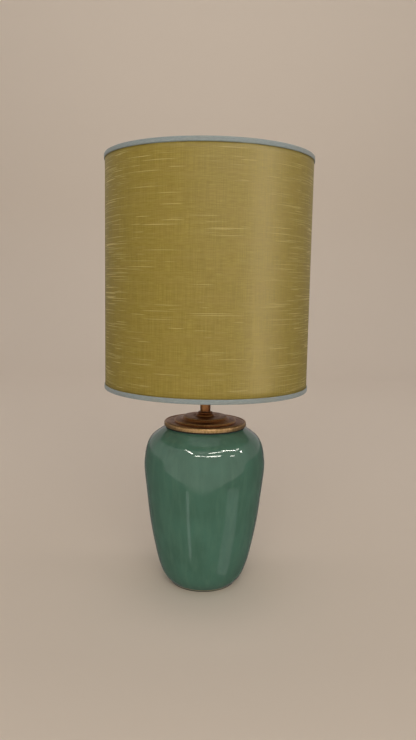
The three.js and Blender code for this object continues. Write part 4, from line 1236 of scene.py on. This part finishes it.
def panel(name, azimuth, elevation, distance, size, power, colour, shows):
    """A rectangular light that faces the lamp and shows in shading ("diffuse") or reflections ("glossy").

    Azimuth 0 is in front of the lamp, and 90 on its right.
    """
    data = bpy.data.lights.new(name, "AREA")
    data.shape = "RECTANGLE"
    data.size, data.size_y = size
    data.energy = power
    data.color = linear(colour)[:3]
    light = bpy.data.objects.new(name, data)
    turn, rise = math.radians(azimuth), math.radians(elevation)
    way = Vector((math.sin(turn) * math.cos(rise), -math.cos(turn) * math.cos(rise), math.sin(rise)))
    light.location = lamp_middle + way * distance
    light.rotation_euler = way.to_track_quat("Z", "Y").to_euler()
    light.visible_diffuse = shows == "diffuse"
    light.visible_glossy = shows == "glossy"
    light.visible_transmission = shows == "glossy"
    bpy.context.scene.collection.objects.link(light)
    return light


panel("key", 3, 24, STAND, (1.6, 1.2), 17, WARM, "diffuse")
silk_glow = panel("silk_glow", 58, 6, STAND, (0.8, 1.6), 34, WARM, "glossy")
silk_only = bpy.data.collections.new("silk_only")
silk_only.objects.link(silk)
silk_glow.light_linking.receiver_collection = silk_only
panel("left_card", -32, -40, STAND, (0.18, 0.63), 0.32, COOL, "glossy")
panel("right_card", 60, -43, STAND, (0.80, 0.95), 1.1, COOL, "glossy")
for i, (azimuth, elevation, width, height, turn, power) in enumerate(HIGH_LAMPS):
    size = (width, height)
    light = panel(f"high_lamp_{i + 1}", azimuth, elevation, HIGH_STAND, size, power, PALE, "glossy")
    spin = Matrix.Rotation(math.radians(turn), 3, "Z")
    light.rotation_euler = (light.rotation_euler.to_matrix() @ spin).to_euler()
panel("floor_light", 0, 90, CEILING, (3.0, 3.0), 10, NEUTRAL, "diffuse")
wall_light = panel("wall_light", 0, 90, CEILING, (4.0, 0.6), 19, NEUTRAL, "diffuse")
wall_light.location = (0, 0.5, CEILING)
wall_light.rotation_euler = (math.radians(60), 0, 0)
print(len(bpy.data.lights), "lights are ready")

# %% [markdown]
# ## Surround
# Round the studio is one pale colour, whose strength depends on the way a ray goes. It is far weaker below
# the front edge of the table than above it. In reflections it is stronger than in shading, and the half in
# front of the lamp is stronger than the half behind.

# %% Surround
TABLE_EDGE = 0.56  # slope of the line of sight from the lamp down to the table's front edge
SHADING_BELOW, SHADING_ABOVE = 0.08, 0.24
MIRRORED_BELOW, MIRRORED_FRONT, MIRRORED_BACK = 0.14, 0.88, 0.50

world = bpy.data.worlds.new("room")
bpy.context.scene.world = world
world.use_nodes = True
tree = world.node_tree
background = tree.nodes["Background"]
background.inputs["Color"].default_value = linear("#f4eae8")
way = add(tree, "TexCoord", {}).outputs["Generated"]
way = add(tree, "SeparateXYZ", {"Vector": way}).outputs
edge = maths(tree, "MULTIPLY", maths(tree, "MINIMUM", way["Y"], 0.0), TABLE_EDGE)
above = between(tree, maths(tree, "SUBTRACT", way["Z"], edge), -0.05, 0.02, 0, 1)
front = between(tree, way["Y"], -0.3, 0.4, MIRRORED_FRONT, MIRRORED_BACK)
for_diffuse = between(tree, above, 0, 1, SHADING_BELOW, SHADING_ABOVE)
for_glossy = add(tree, "Mix", {"Factor": above, "A": MIRRORED_BELOW, "B": front}).outputs["Result"]
reflected = add(tree, "LightPath", {}).outputs["Is Glossy Ray"]
strength = add(tree, "Mix", {"Factor": reflected, "A": for_diffuse, "B": for_glossy}).outputs["Result"]
tree.links.new(strength, background.inputs["Strength"])
print("the surround is ready")
